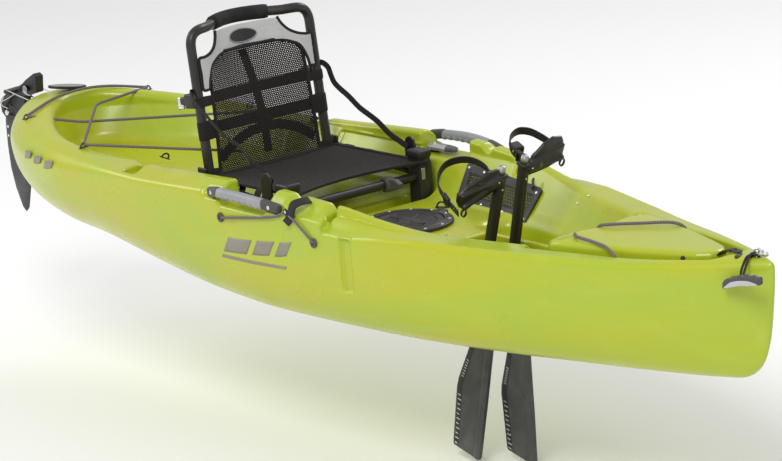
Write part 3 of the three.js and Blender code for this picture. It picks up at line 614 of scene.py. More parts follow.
def braided_cord(name, dark, light, twist=70.0, strands=6.0):
    """Two sets of strands wound round a cord in opposite directions, over its uv of metres and turns."""
    s = Shader(name, dark, 0.85, specular=0.25)
    split = s.node("ShaderNodeSeparateXYZ", {"Vector": s.coordinates.outputs["UV"]})
    along = s.maths("MULTIPLY", split.outputs[0], twist * 2 * math.pi)
    around = s.maths("MULTIPLY", split.outputs[1], strands * 2 * math.pi)
    one = s.maths("SINE", s.maths("ADD", along, around))
    two = s.maths("SINE", s.maths("SUBTRACT", along, around))
    weave = s.grey(s.maths("MULTIPLY", one, two), 0, 1, -1, 1)
    s.set("Base Color", s.mix(weave, dark, light))
    s.bump((weave, 0.6, 0.0008))
    return s.material


LIME_GREEN = (0.375, 0.485, 0.022)
LIME_MID = (0.415, 0.485, 0.014)
LIME_YELLOW = (0.455, 0.475, 0.010)
LIME_PALE = (0.44, 0.54, 0.055)

LIME = lime_plastic()
BLACK = moulded("black_plastic", (0.014, 0.0125, 0.012), 0.42, wear=0.012)
DARK_GREY = moulded("dark_grey_plastic", (0.060, 0.056, 0.054), 0.5, wear=0.02)
GREY = moulded("grey_plastic", (0.28, 0.285, 0.30), 0.42, wear=0.04)
RUBBER = moulded("black_rubber", (0.022, 0.018, 0.019), 0.62, wear=0.012, specular=0.35)
STEEL = brushed_metal("steel", (0.72, 0.72, 0.72), 0.26)
CORD = braided_cord("bungee_cord", (0.115, 0.088, 0.105), (0.235, 0.190, 0.215))
BLACK_CORD = braided_cord("black_cord", (0.012, 0.012, 0.012), (0.05, 0.05, 0.05), 110)

# ---- Hull lines ----
# x, half breadth, keel height, sheer height, deck crown, fullness of the section
STATIONS = np.array(
    [
        (-1460, 40, 240, 296, 8, 2.2),
        (-1440, 70, 170, 305, 22, 2.2),
        (-1350, 174, 110, 311, 45, 2.6),
        (-1200, 264, 82, 313, 50, 2.8),
        (-1000, 328, 56, 311, 36, 2.9),
        (-785, 350, 42, 306, 22, 3.0),
        (-545, 362, 19, 302, 12, 3.5),
        (-324, 370, 4, 312, 10, 4.3),
        (-120, 374, 0, 323, 5, 5.2),
        (0, 375, 0, 326, 4, 5.5),
        (250, 365, 0, 312, 3, 5.3),
        (500, 338, 0, 290, 3, 5.0),
        (774, 270, 0, 285, 5, 4.7),
        (947, 218, 1, 285, 8, 4.2),
        (1127, 165, 3, 288, 12, 3.5),
        (1300, 92, 9, 297, 14, 2.6),
        (1380, 50, 30, 302, 12, 2.2),
        (1430, 22, 105, 306, 6, 2.0),
        (1460, 6, 270, 308, 1, 2.0),
    ]
)


def station(x, column):
    """One column of the stations at x, on a smooth curve through the rows."""
    xs = STATIONS[:, 0]
    values = STATIONS[:, column]
    count = len(xs)
    ahead = np.minimum(np.arange(count) + 1, count - 1)
    behind = np.maximum(np.arange(count) - 1, 0)
    slopes = (values[ahead] - values[behind]) / (xs[ahead] - xs[behind])
    i = np.clip(np.searchsorted(xs, x) - 1, 0, count - 2)
    span = xs[i + 1] - xs[i]
    t = np.clip((x - xs[i]) / span, 0, 1)
    a = 2 * t**3 - 3 * t**2 + 1
    b = t**3 - 2 * t**2 + t
    c = t**3 - t**2
    return a * values[i] + (1 - a) * values[i + 1] + span * (b * slopes[i] + c * slopes[i + 1])


def half_breadth(x):
    return np.maximum(station(x, 1), 4)


def plain_deck(x, y):
    across = np.minimum(np.abs(y) / half_breadth(x), 1)
    return station(x, 3) + station(x, 4) * (1 - across**2)


# Stations along the coaming, and how much of its full rise it has at each.
COAMING_RUN = (
    [-537, -529, 88, 112, 126, 144, 218, 241, 249, 251, 600],
    [0, 1, 1, 0.1, 0.1, 1, 1, 0, 0, 1, 0],
)


def deck_height(x, y):
    """The deck with its raised coaming, the bump ahead of it and the tapering side tray."""
    half = half_breadth(x)
    inboard = smooth((half - 8 - y) / 42)
    drop = EDGE_DROP * band(x, -80, 300, 160)
    coaming = COAMING_RISE * smooth(np.interp(x, *COAMING_RUN))
    lip = half - GUNWALE + 16
    tray = 26 * np.clip((545 - x) / 295, 0, 1) * smooth((x - 248) / 4) * smooth((y - lip) / 6)
    return plain_deck(x, y) + inboard * (coaming + drop) - drop - tray


def hull_side(x, y, z):
    """Distance to the side and bottom skin: a superellipse below the sheer, upright above it."""
    half = half_breadth(x)
    keel = station(x, 2)
    sheer = station(x, 3)
    full = station(x, 5)
    height = np.maximum(sheer - keel, 10)
    across = y / half
    depth = np.maximum(sheer - z, 0) / height
    g = np.maximum((across**full + depth**full) ** (1 / full), 0.05)
    slope = np.hypot((across / g) ** (full - 1) / half, (depth / g) ** (full - 1) / height)
    skin = (g - 1) / np.maximum(slope, 1e-4)
    channel = 8 * band(x, 318, 350, 5) * band(z, 136, 262, 7)
    channel_lip = 3.5 * band(x, 312, 356, 5) * band(z, 264, 268, 5)
    return skin + channel - channel_lip


def outer_skin(x, y, z):
    radius = EDGE_RADIUS + (STERN_EDGE_RADIUS - EDGE_RADIUS) * smooth((-560 - x) / 480)
    skin = both(hull_side(x, y, z), z - deck_height(x, y), radius)
    ends = np.maximum(x - 1459, -1461 - x)
    return both(skin, ends, 10)


def cockpit_well(x, y, z):
    lean = np.maximum(WALL_TOP_Z - z, 0) * WALL_SLOPE
    recess = 11 * band(x, -455, -130, 14) * band(z, 226, 296, 10)
    side = (y - (half_breadth(x) - GUNWALE - lean) - recess) * WALL_COS
    ends = np.maximum(-650 + lean * 0.4 - x, x - 862 + lean * 0.4)
    return both(both(side, ends, 80), FLOOR_Z - z, 26)


def cargo_well(x, y, z):
    lean = np.maximum(WALL_TOP_Z - z, 0) * WALL_SLOPE
    aft = CARGO_AFT + lean * 0.4
    fore = -420 - lean * 0.4
    middle, reach = (aft + fore) / 2, (fore - aft) / 2
    width = np.maximum(half_breadth(np.maximum(x, CARGO_AFT)) - 88 - lean, 30)
    u = np.abs(x - middle) / reach
    v = y / width
    g = np.maximum((u**2.8 + v**2.5) ** (1 / 2.6), 0.05)
    slope = np.hypot(u**1.8 / reach, v**1.5 / width) * 1.05
    plan = (g - 1) / np.maximum(slope, 1e-3)
    return both(plan * WALL_COS, CARGO_FLOOR_Z - z, 26)


def footwell(x, y, z):
    taper = (FLOOR_Z + 20 - z) * 0.13
    side = np.maximum(92 + taper - y, y - (half_breadth(x) - 158 - taper))
    ends = np.maximum(300 + taper - x, x - (760 - taper))
    return both(both(side, ends, 45), FOOTWELL_Z - z, 30)


def drive_well(x, y, z):
    upper = block(x, y, z, (372, -70, 40), (705, 70, 300), 14)
    slot = block(x, y, z, (388, -34, -60), (672, 34, 80), 12)
    return either(upper, slot, 6)


def bow_recess(x, y, z):
    inset = 62 - (x - 845) / 440 * 30
    side = y - (half_breadth(x) - inset)
    ends = np.maximum(800 - x, x - 1328)
    return both(both(side, ends, 30), BOW_RECESS_Z - z, 12)


def bow_cavity(x, y, z):
    """The hollow under the bow hatch, kept a wall's thickness inside the hull."""
    room = both(hull_side(x, y, z) + 14, z - 248, 10)
    room = both(room, np.abs(x - 1085) - 215, 25)
    side = y - (half_breadth(x) - 88 + (x - 915) * 0.09)
    mouth = both(both(side, np.abs(x - 1079) - 161, 30), np.abs(z - 250) - 26)
    return np.minimum(room, mouth)


def hatch_cavity(x, y, z):
    """The hollow under the round hatch in the cockpit floor."""
    reach = np.hypot(x - HATCH[0], y - HATCH[1])
    room = both(reach - 128, np.abs(z - 104) - 76, 20)
    mouth = both(reach - 100, np.abs(z - 190) - 30)
    return np.minimum(room, mouth)


def side_recesses(x, y, z):
    """The scoop under the carry handle, the lever's ledge, and the notch aft of the coaming."""
    half = half_breadth(x)
    scoop = block(x, y, z, (-216, 354, 297), (112, 460, 420), 14)
    ledge = block(x, y, z, (-150, 267, 284), (40, 460, 420), 12)
    notch = block(x, y - half, z, (-600, -96, 281), (-534, -20, 420), 16)
    gap = block(x, y - half, z, (241, -95, 284), (250, -30, 420), 3)
    return np.minimum(np.minimum(scoop, ledge), np.minimum(notch, gap))


def post_socket(x, y, z):
    return block(x, y, z, (-91, -258, 161.6), (-31, 258, 420), 8)


HATCH = centre_mm("centre_hatch_cover")


def hull_field(x, y, z):
    wells = either(cockpit_well(x, y, z), cargo_well(x, y, z), 24)
    wells = either(wells, footwell(x, y, z), 26)
    wells = either(wells, drive_well(x, y, z), 8)
    wells = either(wells, post_socket(x, y, z), 10)
    rim = 11 + 14 * smooth((-640 - x) / 160)
    body = without(outer_skin(x, y, z), wells, rim)
    body = without(body, bow_recess(x, y, z), 8)
    body = without(body, side_recesses(x, y, z), 9)
    return np.maximum(np.maximum(body, -bow_cavity(x, y, z)), -hatch_cavity(x, y, z))


sculpt(
    "hull", hull_field, (-1480, 0, -12), (1480, 400, 392), 5.0,
    LIME, "hull", ["hull_shell"], mirror=True,
)


# ---- Bow hatch lid ----
LID_HALF = [
    (886, 0),
    (878, 30),
    (858, 78),
    (843, 112),
    (845, 146),
    (866, 157),
    (910, 151),
    (980, 135),
    (1041, 117),
    (1120, 93),
    (1202, 65),
    (1250, 46),
    (1277, 24),
    (1286, 0),
]
LID_OUTLINE = mirrored(LID_HALF)


def lid_field(x, y, z):
    plan = polygon(x, y, LID_OUTLINE)
    crown = 309 - 7 * (y / 150) ** 2 - 5 * smooth((900 - x) / 60)
    lobes = 3 * np.exp(-((x - 900) ** 2 + (y - 95) ** 2) / 2600)
    shell = both(plan, z - crown - lobes, 13)
    shell = both(shell, 276 - z, 3)
    inner = both(plan + 12, z - 297, 6)
    return without(shell, both(inner, 270 - z), 3)


sculpt(
    "bow_lid_top", lid_field, (820, 0, 262), (1300, 176, 322), 3.4,
    LIME, "bow_lid", ["bow_hatch_lid"], mirror=True,
)


JOINTS = {joint["name"]: joint for joint in frame["joints"]}


def joint_place(name):
    return np.array(JOINTS[name]["pos_m"]) / MM


# ---- Nets and straps ----
def thicken(points, normals, faces, thickness):
    """A sheet of faces given two sides and a wall along every open edge."""
    points = np.asarray(points, float)
    shift = np.asarray(normals, float) * thickness / 2
    count = len(points)
    walls = {}
    for face in faces:
        for a, b in zip(face, face[1:] + face[:1]):
            if (b, a) in walls:
                del walls[(b, a)]
            else:
                walls[(a, b)] = True
    made = [tuple(face) for face in faces]
    made += [tuple(count + i for i in reversed(face)) for face in faces]
    made += [(b, a, count + a, count + b) for a, b in walls]
    both_sides = np.concatenate([points + shift, points - shift])
    return both_sides, made, np.zeros((2 * count, 2))


def net_arrays(surface, inside, u_range, v_range, pitch, hole, thickness):
    """A woven net on a surface: staggered six-sided holes at a pitch, where inside(u, v) holds."""
    pitch_u, pitch_v = pitch
    index = {}
    flat = []

    def vertex(u, v):
        key = (round(u * 8), round(v * 8))
        if key not in index:
            index[key] = len(flat)
            flat.append((u, v))
        return index[key]

    faces = []
    cell = [(-1, -1), (0, -1), (1, -1), (1, 1), (0, 1), (-1, 1)]
    hexagon = [(-1, -0.45), (0, -1), (1, -0.45), (1, 0.45), (0, 1), (-1, 0.45)]
    for row, v in enumerate(np.arange(v_range[0], v_range[1], pitch_v)):
        offset = pitch_u / 2 if row % 2 else 0
        for u in np.arange(u_range[0] + offset, u_range[1], pitch_u):
            if not inside(u, v):
                continue
            w, h = pitch_u / 2, pitch_v / 2
            outer = [vertex(u + a * w, v + b * h) for a, b in cell]
            inner = [vertex(u + a * hole[0] / 2, v + b * hole[1] / 2) for a, b in hexagon]
            for k in range(6):
                n = (k + 1) % 6
                faces.append((outer[k], outer[n], inner[n], inner[k]))
    flat = np.array(flat)
    points = surface(flat[:, 0], flat[:, 1])
    along = surface(flat[:, 0] + 1, flat[:, 1]) - points
    across = surface(flat[:, 0], flat[:, 1] + 1) - points
    normals = np.cross(along, across)
    normals /= np.linalg.norm(normals, axis=1, keepdims=True)
    return thicken(points, normals, faces, thickness)


def webbing(path, width, thickness, across, spacing=5.0):
    """A flat strap whose width lies along a direction."""
    return sweep_arrays(curve_points(path, spacing), flat_oval(thickness, width), up=across)


def woven(name, color, pale, scale, roughness=0.85):
    """Fabric: fine warp and weft ridges, a little fuzz, uneven tone."""
    s = Shader(name, color, roughness, specular=0.2)
    split = s.node("ShaderNodeSeparateXYZ", {"Vector": s.coordinates.outputs["Object"]})
    slanted = s.maths("ADD", split.outputs[0], split.outputs[2])
    warp = s.maths("SINE", s.maths("MULTIPLY", slanted, scale))
    weft = s.maths("SINE", s.maths("MULTIPLY", split.outputs[1], scale))
    weave = s.grey(s.maths("MULTIPLY", warp, weft), 0, 1, -1, 1)
    tone = s.maths("ADD", s.maths("MULTIPLY", weave, 0.5), s.maths("MULTIPLY", s.noise(25, 4.0), 0.5))
    s.set("Base Color", s.mix(tone, color, pale))
    s.set("Sheen Weight", 0.06)
    s.bump((weave, 0.5, 0.0006), (s.noise(900, 2.0), 0.2, 0.0003))
    return s.material


NET = woven("seat_net", (0.010, 0.008, 0.007), (0.026, 0.021, 0.018), 4200)
WEBBING = woven("black_webbing", (0.008, 0.007, 0.007), (0.030, 0.027, 0.026), 3600)
YOKE_CLOTH = woven("grey_cloth", (0.44, 0.445, 0.44), (0.58, 0.585, 0.58), 3000)
BLACK_TUBE = moulded("black_tube", (0.018, 0.016, 0.015), 0.34, grain=500, strength=0.08, wear=0.012)
FOAM = moulded("foam", (0.013, 0.012, 0.012), 0.78, grain=500, strength=0.5, wear=0.01, specular=0.3)

HATCH_BLACK = moulded("hatch_black", (0.020, 0.018, 0.017), 0.5, wear=0.02)
POCKET_BLACK = moulded("pocket_black", (0.035, 0.033, 0.035), 0.5, wear=0.02)
DULL_STEEL = brushed_metal("dull_steel", (0.42, 0.42, 0.41), 0.42)
MARK_GREY = moulded("mark_grey", (0.235, 0.215, 0.165), 0.42, wear=0.03)


def two_tone():
    """A satin silver lever whose forward tip is dark."""
    s = Shader("steering_two_tone", (0.6, 0.6, 0.6), 0.3)
    split = s.node("ShaderNodeSeparateXYZ", {"Vector": s.coordinates.outputs["Object"]})
    edge = s.maths("ADD", split.outputs[0], s.maths("MULTIPLY", split.outputs[1], 0.6))
    dark = s.grey(edge, 0, 1, 0.117, 0.120)
    s.set("Base Color", s.mix(dark, (0.55, 0.56, 0.57), (0.085, 0.085, 0.087)))
    s.set("Metallic", s.grey(dark, 0.75, 0.0))
    s.set("Roughness", s.grey(s.noise(80, 3.0), 0.24, 0.36))
    s.bump((s.noise(300, 2.0), 0.05, 0.0004))
    return s.material


TWO_TONE = two_tone()

# ---- Seat back ----
HINGE = joint_place("seat_back_fold")
RECLINE = math.radians(6.5)
BACK_UP = 368
BACK_HALF = 195
BACK_BOW = 72  # how far the middle of the top bar bows aft
TUBE_RADIUS = 13
FOAM_FLOOR = 600  # only the top bar of the hoop is higher than this


def on_back(y, up, forward=0.0):
    """A point of the back by its height up the recline and its distance forward of the hoop."""
    y, up, forward = np.broadcast_arrays(*(np.asarray(v, float) for v in (y, up, forward)))
    x = HINGE[0] - up * math.sin(RECLINE) + forward * math.cos(RECLINE)
    z = HINGE[2] + up * math.cos(RECLINE) + forward * math.sin(RECLINE)
    return np.stack([x, y, z], axis=-1)


BACK_UPWARD = on_back(0, 1) - on_back(0, 0)
BACK_FORWARD = on_back(0, 0, 1) - on_back(0, 0)


def bar_bow(y):
    return -BACK_BOW * np.maximum(1 - (y / 175) ** 2, 0) ** 2


def back_sheet(y, up):
    """The stretched sheet of the back: pushed forward in the middle, bowed aft towards the top bar."""
    belly = 6 + 14 * np.sin(np.pi * np.clip(up / 290, 0, 1)) * (1 - (y / 190) ** 2)
    return on_back(y, up, belly + bar_bow(y) * np.clip(up / BACK_UP, 0, 1) ** 1.4)


HOOP_CORNERS = [(-BACK_HALF, -8), (-BACK_HALF, BACK_UP), (BACK_HALF, BACK_UP), (BACK_HALF, -8)]
hoop_path = rounded_path([on_back(y, up) for y, up in HOOP_CORNERS], 44, 8)
hoop_path = hoop_path + bar_bow(hoop_path[:, 1:2]) * BACK_FORWARD
arch = 6 * np.maximum(1 - (hoop_path[:, 1:2] / 120) ** 2, 0) * (hoop_path[:, 2:] > FOAM_FLOOR)
hoop_path = hoop_path + arch * BACK_UPWARD
hoop_parts = [tube_arrays(hoop_path, TUBE_RADIUS, 22)]
for _, side in SIDES:
    pin = resample([on_back(side * (BACK_HALF - 4), 0), on_back(side * 220.4, 0)], 5)
    hoop_parts.append(tube_arrays(pin, 4.5, 14))
build("seat_hoop", hoop_parts, BLACK_TUBE, "seat_back", ["back_frame"])

foam_path = hoop_path[(np.abs(hoop_path[:, 1]) < 97) & (hoop_path[:, 2] > FOAM_FLOOR)]
foam_scale = np.ones(len(foam_path))
foam_scale[[0, -1]] = 0.9
build(
    "seat_foam",
    [sweep_arrays(foam_path, circle(19, 26), scale=foam_scale)],
    FOAM,
    "seat_back",
    ["foam_grip"],
)

PANEL_TOP = 296
PANEL_BOTTOM = -10
PANEL_CORNER = 52
NET_PITCH = (6.0, 4.8)


def panel_half(up):
    """Half width of the mesh panel, with its two rounded top corners."""
    straight = 164 - 12 * up / PANEL_TOP
    corner = np.clip((up - PANEL_TOP + PANEL_CORNER) / PANEL_CORNER, 0, 1)
    return straight - PANEL_CORNER * (1 - np.sqrt(np.maximum(1 - corner**2, 0)))


def in_panel(y, up):
    return PANEL_BOTTOM <= up <= PANEL_TOP + 6 and abs(y) < panel_half(up)


panel_rows = (PANEL_BOTTOM, PANEL_TOP)
panel_net = net_arrays(back_sheet, in_panel, (-168, 168), panel_rows, NET_PITCH, (2.9, 2.2), 1.2)
straight_top = PANEL_TOP - PANEL_CORNER
corner_up = straight_top + PANEL_CORNER * np.sin(np.linspace(0.1, 1.57, 14))
outline_up = np.r_[np.linspace(PANEL_BOTTOM, straight_top, 30), corner_up]
panel_edge = [(panel_half(up), up) for up in outline_up]
panel_edge = panel_edge + [(-y, up) for y, up in panel_edge[::-1]]
panel_edge.append(panel_edge[0])
edge_points = resample(np.array([back_sheet(y, up) for y, up in panel_edge]), 6)
piping = sweep_arrays(edge_points, circle(4.6, 12), closed=True)
build("back_net", [panel_net], NET, "seat_back", ["back_panel"])
build("back_piping", [piping], WEBBING, "seat_back")


def side_strap(side, low, high):
    """A strap from the panel's edge round the hoop tube and back."""
    middle = (low + high) / 2
    half = panel_half(middle)
    near = BACK_HALF - half
    line = [(half - 2, 9), (half + 0.5 * near, 12), (BACK_HALF + 3, 14.6), (BACK_HALF + 14.8, 2)]
    line += [(BACK_HALF + 4, -14.2), (half + 0.5 * near, -5), (half - 2, 4)]
    return webbing([on_back(side * y, middle, f) for y, f in line], high - low, 2.2, BACK_UPWARD, 4)


def across_back(points, width, guide):
    """A strap that lies against the rear of the sheet."""
    line = [back_sheet(y, up) - BACK_FORWARD * 5 for y, up in points]
    return webbing(line, width, 2.4, guide)


HOOP_STRAPS = ((84, 132), (170, 195), (-14, 6))  # lower and upper edge of each strap round the hoop
strap_parts = [side_strap(side, low, high) for _, side in SIDES for low, high in HOOP_STRAPS]
strap_parts.append(across_back([(y, 188) for y in (-152, -90, 0, 90, 152)], 27, BACK_UPWARD))
strap_parts.append(across_back([(y, 112) for y in (-156, -90, 0, 90, 156)], 32, BACK_UPWARD))
strap_parts.append(across_back([(-156, 26), (-90, 66), (0, 84), (90, 66), (156, 26)], 26, BACK_UPWARD))
strap_parts.append(across_back([(0, 16), (0, 110), (0, 200), (0, 286)], 26, (0, 1, 0)))
build("back_webbing", strap_parts, WEBBING, "seat_back")

YOKE_HALF = [
    (0, 352),
    (100, 352),
    (108, 336),
    (122, 316),
    (144, 302),
    (166, 296),
    (182, 294),
    (182, 214),
    (166, 214),
    (160, 240),
    (144, 272),
    (104, 290),
    (0, 296),
]
YOKE_OUTLINE = YOKE_HALF + [(-y, up) for y, up in YOKE_HALF[-2:0:-1]]


def back_coordinates(x, z):
    """A point's height up the recline and its distance forward of the hoop."""
    dx, dz = x - HINGE[0], z - HINGE[2]
    up = -dx * math.sin(RECLINE) + dz * math.cos(RECLINE)
    forward = dx * math.cos(RECLINE) + dz * math.sin(RECLINE)
    return up, forward


def yoke_sheet(y, up):
    """How far forward of the hoop the middle of the yoke's cloth lies."""
    return 15 + bar_bow(y) * np.clip(up / BACK_UP, 0, 1) ** 1.4


def yoke_field(x, y, z):
    up, forward = back_coordinates(x, z)
    sheet = yoke_sheet(y, up)
    wrap = 6 * smooth((np.abs(y) - 150) / 40)
    plan = polygon(y, up, YOKE_OUTLINE)
    quilt = 0.5 * np.sin(up * 0.35) * band(y, -96, 96, 8)
    return both(plan, np.abs(forward - sheet + wrap * 0.3) - 1.8 - 0.25 * quilt, 1.2)


sculpt(
    "back_yoke_cloth", yoke_field, (-545, 0, 480), (-380, 196, 668), 2.2,
    YOKE_CLOTH, "seat_back", ["back_yoke"], mirror=True,
)


def on_yoke(y, up, lift=0.0):
    y = np.asarray(y, float)
    return on_back(y, up, yoke_sheet(y, up) - 1.8 * smooth((np.abs(y) - 150) / 40) + lift)


binding = []
for _, side in SIDES:
    outer = [(102, 354), (108, 337), (122, 317), (144, 303), (166, 297), (184, 295)]
    outer += [(185, 254), (184, 213), (166, 212)]
    inner = [(166, 212), (160, 239), (145, 271), (126, 283), (104, 291), (52, 295), (0, 297)]
    for line in (outer, inner):
        path = curve_points([on_yoke(side * y, up) for y, up in line], 4)
        binding.append(sweep_arrays(path, flat_oval(7.5, 5.6), up=BACK_FORWARD))
build("yoke_binding", binding, WEBBING, "seat_back")
PATCH_HALF = (44, 17)  # half width and half height of the oval patch
PATCH_UP = 323


def patch_field(x, y, z):
    up, forward = back_coordinates(x, z)
    plan = np.hypot(y / PATCH_HALF[0], (up - PATCH_UP) / PATCH_HALF[1]) - 1
    return both(plan * PATCH_HALF[1], np.abs(forward - yoke_sheet(y, up) - 1.6) - 2.2, 1.4)


sculpt("yoke_patch", patch_field, (-520, 0, 588), (-420, 48, 646), 1.5, BLACK, "seat_back", mirror=True)
oval = [
    (PATCH_HALF[0] * math.cos(a), PATCH_UP + PATCH_HALF[1] * math.sin(a))
    for a in np.linspace(0, 2 * math.pi, 49)
]
ring_path = np.array([on_yoke(y, up, 3.6) for y, up in oval])
ring = sweep_arrays(ring_path, circle(1.5, 8), closed=True)
build("yoke_patch_ring", [ring], GREY, "seat_back")

lever_parts = []
for name, side in SIDES:
    at = on_back(side * BACK_HALF, 188, -34)

    def clamp(x, y, z):
        up, forward = back_coordinates(x, z)
        grip = block(np.abs(y), up, forward, (180, 168, -46), (210, 206, -6), 5)
        tail = block(np.abs(y), up, forward, (188, 176, -76), (202, 196, -40), 4)
        return either(grip, tail, 4)

    sculpt(f"recline_clamp_{name}", clamp, at - 60, at + 60, 2.4, BLACK, "seat_back")
    lever = [on_back(side * 195, up, -78 - 2 * math.sin(up / 12)) for up in (164, 174, 184, 194)]
    lever_parts.append(sweep_arrays(curve_points(lever, 3), flat_oval(24, 8), up=(0, 1, 0)))
build("recline_levers", lever_parts, STEEL, "seat_back")

# ---- Seat base ----
CAM = joint_place("seat_cam_turn")
TUBE_X, TUBE_Z = CAM[0], CAM[2]
RAIL_Y = 225
REAR_Z = HINGE[2] - 14
base_parts = []
for _, side in SIDES:
    rail = [(HINGE[0] - 6, side * RAIL_Y, REAR_Z + 1), (TUBE_X, side * RAIL_Y, TUBE_Z)]
    base_parts.append(tube_arrays(resample(rail, 10), 10, 18))
base_parts.append(tube_arrays(resample([(TUBE_X, -243, TUBE_Z), (TUBE_X, 243, TUBE_Z)], 10), 12, 20))
rear_bar = [
    (HINGE[0] + 10, -RAIL_Y, REAR_Z),
    (HINGE[0] + 20, -RAIL_Y + 4, REAR_Z - 22),
    (HINGE[0] + 20, RAIL_Y - 4, REAR_Z - 22),
    (HINGE[0] + 10, RAIL_Y, REAR_Z),
]
base_parts.append(tube_arrays(rounded_path(rear_bar, 26, 8), 9, 16))
build("seat_base_tubes", base_parts, BLACK_TUBE, "hull", ["seat_frame"])


TAB_OUTLINE = [(-136, 256), (-138, 322), (-131, 336), (-118, 341), (-105, 334), (-100, 320), (-102, 256)]


def ear_field(x, y, z):
    ear = block(x, y, z, (HINGE[0] - 17, 214.5, HINGE[2] - 18), (HINGE[0] + 17, 221.5, HINGE[2] + 16), 3)
    ear = np.maximum(ear, -barrel(x, y, z, (HINGE[0], 200, HINGE[2]), (HINGE[0], 240, HINGE[2]), 4.9, 0))
    tab = polygon(x, z, TAB_OUTLINE) - 2
    tab = both(tab, np.abs(y - 237) - 3.4, 2)
    corner = block(x, y, z, (-87, 213, 238), (-36, 241, 292), 9)
    corner = either(corner, capsule(x, y, z, (-66, 228, 286), (-44, 226, 292), 9), 6)
    return np.minimum(np.minimum(ear, tab), corner)


sculpt("seat_brackets", ear_field, (-440, 0, 230), (-26, 250, 350), 2.4, BLACK, "hull", mirror=True)

SLING_HALF = 214
SLING_LENGTH = 340


def sling_front(y):
    return -84 + 46 * (y / 200) ** 2


def sling_surface(u, v):
    """u runs across the seat; v runs from 0 at the hinge to SLING_LENGTH at the front edge."""
    x = HINGE[0] + 12 + v / SLING_LENGTH * (sling_front(u) - HINGE[0] - 12)
    share = v / SLING_LENGTH
    sag = 13 * (1 - (u / SLING_HALF) ** 2) * np.sin(np.pi * np.clip(0.12 + 0.76 * share, 0, 1))
    z = 286 + 5 * share - sag
    return np.stack([x, u + 0 * v, z + 0 * u], axis=-1)


def in_sling(u, v):
    return abs(u) < SLING_HALF


def sling_point(u, v):
    return sling_surface(np.float64(u), np.float64(v))


sling_span = (-SLING_HALF, SLING_HALF)
sling_net = net_arrays(sling_surface, in_sling, sling_span, (3, SLING_LENGTH), NET_PITCH, (2.7, 2.0), 1.3)
build("seat_net", [sling_net], NET, "hull", ["seat_sling"])
hem = [sling_point(-SLING_HALF, v) for v in np.linspace(0, SLING_LENGTH, 12)]
hem += [sling_point(u, SLING_LENGTH) for u in np.linspace(-SLING_HALF, SLING_HALF, 30)]
hem += [sling_point(SLING_HALF, v) for v in np.linspace(SLING_LENGTH, 0, 12)]
hem += [sling_point(u, 0) for u in np.linspace(SLING_HALF, -SLING_HALF, 30)]
hem_path = resample(np.array(hem), 7)
hem_parts = [sweep_arrays(hem_path, flat_oval(11, 8), up=(0, 0, 1), closed=True)]
for share in (0.12, 0.38, 0.64, 0.88):
    v = share * SLING_LENGTH
    for _, side in SIDES:
        rail_z = REAR_Z + (TUBE_Z - REAR_Z) * share
        x = sling_point(side * 205, v)[0]
        loop = [(205, 286), (222, 290), (238, rail_z + 4), (236, rail_z - 8)]
        loop += [(225, rail_z - 11.5), (213, rail_z - 6), (204, 282)]
        hem_parts.append(webbing([(x, side * y, z) for y, z in loop], 26, 2.2, (1, 0, 0), 4))
for y in (-70, 70):
    under = [sling_point(y, v) - (0, 0, 4) for v in np.linspace(6, SLING_LENGTH - 6, 6)]
    hem_parts.append(webbing(under, 25, 2.2, (0, 1, 0)))
build("seat_hem", hem_parts, WEBBING, "hull")


def post_field(x, y, z):
    post = block(x, y, z, (-85, 196, 162.4), (-37, 236, 318), 7)
    flutes = 1.8 * band(np.mod(x + 85, 16), 5, 11, 2) * band(z, 176, 236, 4) * smooth((y - 190) / 4)
    cap = block(x, y, z, (-88, 194, 302), (-34, 238, 320), 6)
    shape = either(post + 0.6 * flutes, cap, 6)
    window = block(x, y, z, (-73, 180, 268), (-49, 260, 296), 6)
    return without(shape, both(window, 226 - y), 2)


sculpt(
    "seat_legs", post_field, (-100, 0, 150), (-22, 250, 332), 2.6,
    BLACK, "hull", ["seat_post_port", "seat_post_stbd"], mirror=True,
)
cam_plates = []
for _, side in SIDES:
    line = [(-33, side * 204, z) for z in (246, 256, 266, 276)]
    cam_plates.append(sweep_arrays(curve_points(line, 4), flat_oval(12, 3), up=(1, 0, 0)))
build("cam_plates", cam_plates, DULL_STEEL, "hull")


def seat_lever_field(x, y, z):
    hub = barrel(x, y, z, (TUBE_X, 92, TUBE_Z), (TUBE_X, 116, TUBE_Z), 19, 4)
    arm = polygon(x, z, [(-58, 236), (-50, 268), (-22, 266), (-4, 258), (-5, 248), (-28, 240)]) - 2
    arm = both(arm, np.abs(y - 104) - 8, 4)
    shape = either(hub, arm, 8)
    bore = barrel(x, y, z, (TUBE_X, 80, TUBE_Z), (TUBE_X, 130, TUBE_Z), 12.3, 0)
    return np.maximum(shape, -bore)


sculpt(
    "seat_cam_lever", seat_lever_field, (-86, 86, 226), (2, 122, 276), 1.8,
    DARK_GREY, "seat_cam", ["seat_lever"],
)

RECLINE_STRAPS = {
    "stbd": [(-420, 486), (-400, 472), (-372, 455), (-345, 436)]
    + [(-291, 406), (-242, 392), (-205, 362), (-149, 342)],
    "port": [(-420, 490), (-411, 472), (-398, 452), (-339, 421)]
    + [(-300, 398), (-231, 371), (-180, 342), (-146, 330)],
}
STRAP_Y = 222
STRAP_END = (-112, 318)
for name, side in SIDES:
    line = [(x, side * STRAP_Y, z) for x, z in RECLINE_STRAPS[name] + [STRAP_END]]
    start = on_back(side * 196, 214, -15)
    wrap = [start, on_back(side * 212, 212, -9), on_back(side * 218, 208, 4)]
    path = curve_points(wrap + line, 5)
    strap = sweep_arrays(path, flat_oval(3.2, 15), up=(0.45, side * 0.35, 0.84))
    made = mesh_object(f"recline_strap_band_{name}", strap[0], strap[1], uvs=strap[2])
    made.data.materials.append(WEBBING)
    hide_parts(f"recline_strap_{name}")
    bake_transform(made)

